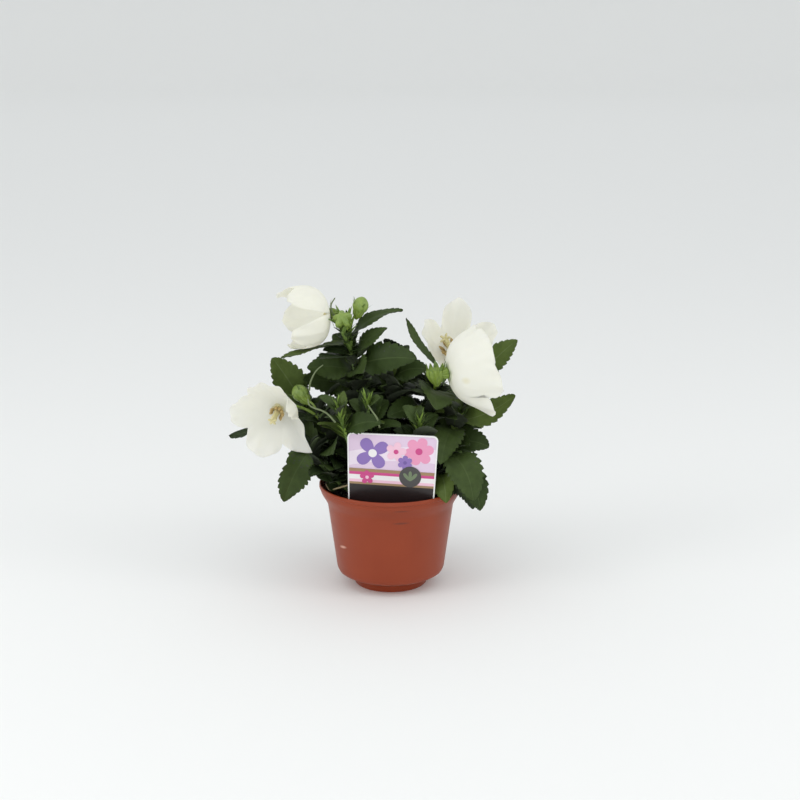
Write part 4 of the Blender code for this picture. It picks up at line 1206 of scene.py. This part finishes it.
def petal_point(bloom, angle, share):
    """The cup's surface, in its own frame: at 0 its pole, at 1 its lobed edge."""
    turns = angle / (2 * math.pi) * PETALS
    aside = 2 * (turns - round(turns))
    lobe = round(turns) % PETALS
    gap = lobe if aside > 0 else (lobe - 1) % PETALS
    sharp = bloom.sharp[lobe]
    notch = bloom.gaps[gap] * (sharp * abs(aside) + (1 - sharp) * abs(aside) ** 2.8)
    reach = 1.0 + (bloom.reach[lobe] - 1.0) * (1.0 - aside * aside)
    out, along = cup_profile(bloom, share * reach * (1.0 - notch))
    curl = bloom.curl[lobe] * (1.0 - aside * aside) * max(0.0, (share - CURL_START) / (1 - CURL_START)) ** 2
    crease = math.exp(-((aside / CREASE_WIDTH) ** 2)) * CREASE_HEIGHT * math.sin(math.pi * share)
    valley = -math.exp(-(((1.0 - abs(aside)) / VALLEY_WIDTH) ** 2)) * VALLEY_DEPTH * share**0.7
    vein = VEIN_HEIGHT * math.cos(2 * math.pi * PETAL_VEINS * aside / 2) * share
    wave = EDGE_WAVE * math.sin(EDGE_WAVES * aside * math.pi + 2 * round(turns)) * share**5
    slip = bloom.sway[lobe] * (1 - aside**2) + bloom.slip[gap] * aside**2
    out += curl + crease + valley + vein + wave
    return polar(out, angle + slip * share**2, along - 0.4 * curl - 0.5 * wave)


def cup_mesh(bloom, frame_at, heap):
    """The petals as two sheets that share the cup's lobed edge."""
    around = PETALS * PETAL_COLUMNS
    inner, outer = [], []
    for i, k in product(range(PETAL_ROWS + 1), range(around)):
        share, angle = max(0.004, i / PETAL_ROWS), 2 * math.pi * k / around
        place = petal_point(bloom, angle, share)
        ahead = petal_point(bloom, angle, share + 0.01) - place
        aside = petal_point(bloom, angle + 0.01, share) - place
        lifted = place + UP * PETAL_THICKNESS
        inner.append(tuple(frame_at @ lifted))
        outer.append(tuple(frame_at @ (lifted + aside.cross(ahead).normalized() * PETAL_THICKNESS)))
    low = len(inner)
    faces, marks = [], []
    for i, k in product(range(PETAL_ROWS), range(around)):
        a, b = i * around + k, i * around + (k + 1) % around
        high = around if i == PETAL_ROWS - 1 else low + around
        faces += [(a, a + around, b + around, b), (a + low, b + low, b + high, a + high)]
        near = i / PETAL_ROWS
        marks += [HEART if near < HEART_REACH else CREAM, PETAL_FOOT if near < FOOT_REACH else CREAM]
    faces += [tuple(range(around)), tuple(reversed(range(low, low + around)))]
    heap.add(inner + outer[:-around], faces, [*marks, HEART, PETAL_FOOT])


def style_parts(frame_at, long, fate, heap):
    """The style, its curled stigmas, and the anthers that lie round it."""
    def part(points, radii, sides, mark=STYLE_CREAM, ridges=0.0):
        heap.add(*tube([frame_at @ (Vector(p) * long) for p in points], radii, sides, ridges), mark)

    column = [(0, 0, 0.0004 + STYLE_LENGTH * i / 12) for i in range(13)]
    part(column, [STYLE_RADIUS - 0.001 * i / 12 + 0.0004 * (i > 9) for i in range(13)], 12, ridges=0.12)
    for i in range(STIGMAS):
        out = polar(1.0, 2 * math.pi * i / STIGMAS + 0.3)
        bends = [0.35 * k for k in range(6)]
        curl = [out * 0.0032 * math.sin(a) + UP * (STYLE_LENGTH + 0.0018 * math.sin(1.5 * a)) for a in bends]
        part(curl, STIGMA_RADII, 8)
    for i in range(ANTHERS):
        out = polar(1.0, 2 * math.pi * (i + 0.5) / ANTHERS + fate.uniform(-0.2, 0.2))
        part([out * r + UP * z for r, z in FILAMENT], FILAMENT_RADII, 6)
        droop = fate.uniform(0.0, 0.6)
        end = out * 0.0022 * (1 - droop) + UP * 0.0062 * (1 - 0.4 * droop)
        anther = [out * 0.0042 + UP * 0.0038 + end * (k / 4) for k in range(5)]
        part(anther, ANTHER_RADII, 8, mark=ANTHER_TAN)


PETAL_GRAIN = {"relief": 0.00004, "grain": 0.0007}
STYLE_GRAIN = {"relief": 0.0001, "grain": 0.0005}
petal_cream = finish(
    "petal cream", (0.872, 0.852, 0.7), 0.55, Tone((0.836, 0.82, 0.662), 0.6, 0.012), **PETAL_GRAIN
)
joined(
    shader_of(petal_cream), Subsurface_Weight=0.65, Subsurface_Radius=(1.0, 0.95, 0.75),
    Subsurface_Scale=0.005,
)
marked(petal_cream, (0.06, -0.052, 0.186), (0.005, 0.012, 0.0042), 0, (0.76, 0.7, 0.42))
style_tone, anther_tone = Tone((0.56, 0.52, 0.26), 0.5, 0.003), Tone((0.38, 0.26, 0.1), 0.5, 0.002)
bloom_finishes = [
    petal_cream,
    finish("petal base green", (0.74, 0.76, 0.58), 0.55, **PETAL_GRAIN),
    finish("petal heart", (0.7, 0.66, 0.43), 0.6, **PETAL_GRAIN),
    finish("style cream", (0.72, 0.64, 0.36), 0.6, style_tone, **STYLE_GRAIN),
    finish("spent anther", (0.56, 0.42, 0.19), 0.7, anther_tone, **STYLE_GRAIN),
]

for name, bloom in BLOOMS.items():
    facing, turn = Vector(bloom.facing).normalized(), math.radians(bloom.turn)
    bloom_heap = Pile()
    cup_mesh(bloom, along_axis(Vector(bloom.base), facing, turn), bloom_heap)
    style_frame = along_axis(Vector(bloom.base), facing + Vector(bloom.lean))
    style_parts(style_frame, bloom.style, random.Random(name), bloom_heap)
    petals = bloom_heap.as_object(name + "_petals", *bloom_finishes, crease=60)
    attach(petals, "root")
    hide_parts(name)

    centre = Vector(bloom.base) - facing * CALYX_RADIUS * 0.55
    calyx(centre, facing, CALYX_RADIUS, CALYX_LEAN, CALYX_SEPAL, turn, bud_heap)
    start = shoot_point(SHOOTS[bloom.shoot], bloom.place)
    stalk(start, centre - facing * CALYX_RADIUS, 16, bud_heap, stout=1.2)

buds = bud_heap.as_object("buds_and_calyces", *bud_finishes)
twigs = twig_heap.as_object("twigs", stem_green)
for piece in (buds, twigs):
    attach(piece, "root")
    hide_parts(*[f"foliage_{name}" for name in SHOOTS])


# The plant label is a die-cut white plastic card on a stake, pushed in the compost behind the
# rim. Its front is printed edge to edge inside a white border: plain rosettes on a lilac ground,
# bands of colour under them, and a black foot. The back is bare.

CARD_WIDTH_TOP = 0.0735
CARD_WIDTH_FOOT = 0.07
CARD_HEIGHT = 0.064
CARD_CORNER = 0.0045
CARD_THICKNESS = 0.0005
CARD_FOOT = Vector((0.0005, -0.041, 0.078))
CARD_SHOULDER = 0.0036
CARD_LEAN = math.radians(4.0)
CARD_TURN = math.radians(-3.5)
CARD_ROLL = math.radians(1.8)
STAKE_WIDTH = 0.014
STAKE_LENGTH = 0.03
BORDER = 0.0011
INK = 0.000015
INK_OVERLAP = 1.5
ROSETTE_PETAL = 0.86
ROSETTE_HEART = 0.24

card_matrix = (
    Matrix.Translation(CARD_FOOT)
    @ Matrix.Rotation(CARD_TURN, 4, "Z")
    @ Matrix.Rotation(math.radians(90) + CARD_LEAN, 4, "X")
    @ Matrix.Rotation(-CARD_ROLL, 4, "Z")
)


def card_outline(inward=0.0, stake=True):
    """The card's outline in its own plane, with its stake or cut straight across its foot."""
    half_top, half_foot = CARD_WIDTH_TOP / 2 - inward, CARD_WIDTH_FOOT / 2 - inward
    corner, top = CARD_CORNER - inward, CARD_HEIGHT - inward
    edge = arc((half_top - corner, top - corner), corner, 0, 90, 10)
    edge.insert(0, (half_foot, CARD_SHOULDER + inward))
    if stake:
        half = STAKE_WIDTH / 2
        edge = [(half, half - STAKE_LENGTH), (half, 0.0), *edge]
    outline = [*edge, *[(-x, y) for x, y in reversed(edge)]]
    return [(0.0, -STAKE_LENGTH), *outline] if stake else outline


def plate(outline, low, high):
    """A flat closed plate of that outline between two heights over the card's middle plane."""
    bm = bmesh.new()
    face = bm.faces.new([bm.verts.new((x, y, low)) for x, y in outline])
    made = bmesh.ops.extrude_face_region(bm, geom=[face])
    lifted = [g for g in made["geom"] if isinstance(g, bmesh.types.BMVert)]
    bmesh.ops.translate(bm, vec=(0, 0, high - low), verts=lifted)
    bmesh.ops.recalc_face_normals(bm, faces=bm.faces)
    bmesh.ops.triangulate(bm, faces=[f for f in bm.faces if len(f.verts) > 4])
    return bm


card_white = finish("card white", (0.83, 0.83, 0.81), 0.33, relief=0.00002, grain=0.0012)
INKS = {
    "ground": (0.7, 0.55, 0.7),
    "ground light": (0.8, 0.7, 0.8),
    "violet": (0.245, 0.155, 0.44),
    "violet dark": (0.15, 0.09, 0.31),
    "pink": (0.76, 0.3, 0.47),
    "pink pale": (0.82, 0.52, 0.64),
    "magenta": (0.56, 0.06, 0.23),
    "grey": (0.06, 0.056, 0.056),
    "tan": (0.33, 0.215, 0.11),
    "black": (0.018, 0.012, 0.012),
    "white": (0.8, 0.78, 0.78),
    "leaf": (0.15, 0.2, 0.11),
}
inks = {ink: finish(f"ink {ink}", INKS[ink], 0.3, relief=0.00001, grain=0.0009) for ink in INKS}
INK_MARKS = {ink: number for number, ink in enumerate(inks)}
print_heap = Pile()
half_card = CARD_WIDTH_FOOT / 2
layer = 0


def ink_shape(outline, ink):
    """One printed shape, on top of those before it."""
    global layer
    low = CARD_THICKNESS / 2 + layer * INK
    layer += 1
    print_heap.add_bmesh(plate(outline, low, low + INK * INK_OVERLAP), INK_MARKS[ink])


def band(low, high, ink, tilt=0.0, bow=0.0):
    """A band right across the card, tilted and bowed."""
    xs = [half_card * (i / 12 * 2 - 1) for i in range(13)]

    def line(y):
        return [(x, y + tilt * x + bow * (1 - (x / half_card) ** 2)) for x in xs]

    ink_shape([*line(low), *reversed(line(high))], ink)


def petal_shape(centre, angle, length, width):
    """One rounded petal of a printed rosette."""
    points = []
    cosine, sine = math.cos(angle), math.sin(angle)
    for i in range(18):
        a = 2 * math.pi * i / 18
        along = length * (0.5 + 0.5 * math.cos(a))
        across = width / 2 * math.sin(a) * (0.55 + 0.45 * along / length)
        points.append((
            centre[0] + along * cosine - across * sine, centre[1] + along * sine + across * cosine
        ))
    return points


def rosette(centre, size, petals, ink, heart, turn=0.0):
    for i in range(petals):
        ink_shape(petal_shape(centre, turn + 2 * math.pi * i / petals, size, size * ROSETTE_PETAL), ink)
    ink_shape(arc(centre, size * ROSETTE_HEART, 0, 340, 17), heart)


ink_shape(card_outline(BORDER * 0.8, stake=False), "ground")
band(0.038, 0.05, "ground light", 0.06, 0.003)
rosette((0.0215, 0.05), 0.0122, 6, "pink", "magenta", 0.2)
rosette((-0.016, 0.047), 0.0145, 4, "violet", "white", 0.6)
rosette((0.003, 0.049), 0.0085, 5, "pink pale", "magenta", 0.1)
rosette((0.0105, 0.04), 0.0062, 6, "violet", "violet dark", 0.5)
for low, high, ink in (
    (0.03, 0.033, "tan"), (0.0275, 0.0303, "magenta"), (0.0235, 0.0278, "white"),
    (0.0212, 0.0238, "pink pale"), (0.019, 0.0214, "tan"), (0.005, 0.0195, "black"),
):
    band(low, high, ink, -0.02)
band(0.0037, 0.011, "black")
ink_shape(arc((0.015, 0.028), 0.009, 0, 350, 35), "grey")
for i in range(3):
    ink_shape(petal_shape((0.015, 0.0245), math.radians(50 + 40 * i), 0.0085, 0.0034), "leaf")
rosette((-0.02, 0.0262), 0.006, 5, "magenta", "pink pale", 0.4)

border_edges = card_outline(0.0, stake=False), card_outline(BORDER, stake=False)
border = bmesh.new()
rings = []
for height in (CARD_THICKNESS / 2, CARD_THICKNESS / 2 + (layer + 2) * INK):
    for outline in border_edges:
        rings.append([border.verts.new((x, y, height)) for x, y in outline])
corners = list(zip(*(rings[k] for k in (0, 2, 3, 1))))
for here, ahead in zip(corners, corners[1:]):
    for k in range(4):
        border.faces.new((here[k], ahead[k], ahead[(k + 1) % 4], here[(k + 1) % 4]))
for end in (corners[0], corners[-1]):
    border.faces.new(end)
bmesh.ops.recalc_face_normals(border, faces=border.faces)
print_heap.add_bmesh(border, len(inks))

card_body = plate(card_outline(), -CARD_THICKNESS / 2, CARD_THICKNESS / 2)
card = object_from(card_body, "label_card", card_white)
card_print = print_heap.as_object("label_print", *inks.values(), card_white, crease=30)
for piece in (card, card_print):
    piece.data.transform(card_matrix)
    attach(piece, "root")
    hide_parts("label")


# The stage is a wide shallow dish of pale studio paper, whose rim curves up all round so that no
# edge shows, under soft light: a large lamp at each side, one over the plant, one low in front, and
# a bright room. The picture's width and the lens's focal length are counted in pixels.

STAGE_RADIUS = 8.0
STAGE_ROUND = 2.0
STAGE_RIM = 3.0
PICTURE_WIDTH = 800
FOCAL_LENGTH = 1551.9
CAMERA_PLACE = (0.00796, -1.25, 0.4754)
CAMERA_TILT = 75.778

stage_profile = [(0.0, 0.0), (STAGE_RADIUS / 2, 0.0)]
stage_profile += arc((STAGE_RADIUS, STAGE_ROUND), STAGE_ROUND, -90, 0, 24)
stage_profile.append((STAGE_RADIUS + STAGE_ROUND, STAGE_RIM))
studio_paper = finish("studio paper", (0.865, 0.867, 0.855), 0.85, relief=0.00005, grain=0.003)
floor = object_from(turned(stage_profile, 96), "floor", studio_paper)

room = bpy.data.worlds.new("bright room")
room.use_nodes = True
joined(room.node_tree.nodes["Background"], Color=(0.96, 0.985, 1.0, 1.0), Strength=0.87)
bpy.context.scene.world = room


def soft_lamp(name, place, aim, width, height, power):
    lamp = bpy.data.lights.new(name, "AREA")
    lamp.shape = "RECTANGLE"
    lamp.size, lamp.size_y = width, height
    lamp.energy = power
    made = bpy.data.objects.new(name, lamp)
    made.location = place
    made.rotation_euler = (Vector(aim) - Vector(place)).to_track_quat("-Z", "Y").to_euler()
    bpy.context.scene.collection.objects.link(made)


soft_lamp("lamp_left", (-1.3, -0.75, 0.85), (0, 0, 0.12), 0.7, 1.1, 6)
soft_lamp("lamp_right", (1.35, -0.55, 0.85), (0, 0, 0.12), 0.6, 1.1, 4.5)
soft_lamp("lamp_over", (0.05, -0.95, 1.6), (0, 0, 0.15), 1.2, 1.0, 2)
soft_lamp("lamp_front", (-0.2, -1.7, 0.3), (0, 0, 0.06), 1.4, 0.5, 3)

view = bpy.data.cameras.new("view")
view.sensor_width = 36.0
view.lens = FOCAL_LENGTH * view.sensor_width / PICTURE_WIDTH
camera = bpy.data.objects.new("view", view)
camera.location = CAMERA_PLACE
camera.rotation_euler = (math.radians(CAMERA_TILT), 0.0, 0.0)
bpy.context.scene.collection.objects.link(camera)
bpy.context.scene.camera = camera
bpy.context.scene.view_settings.view_transform = "Standard"
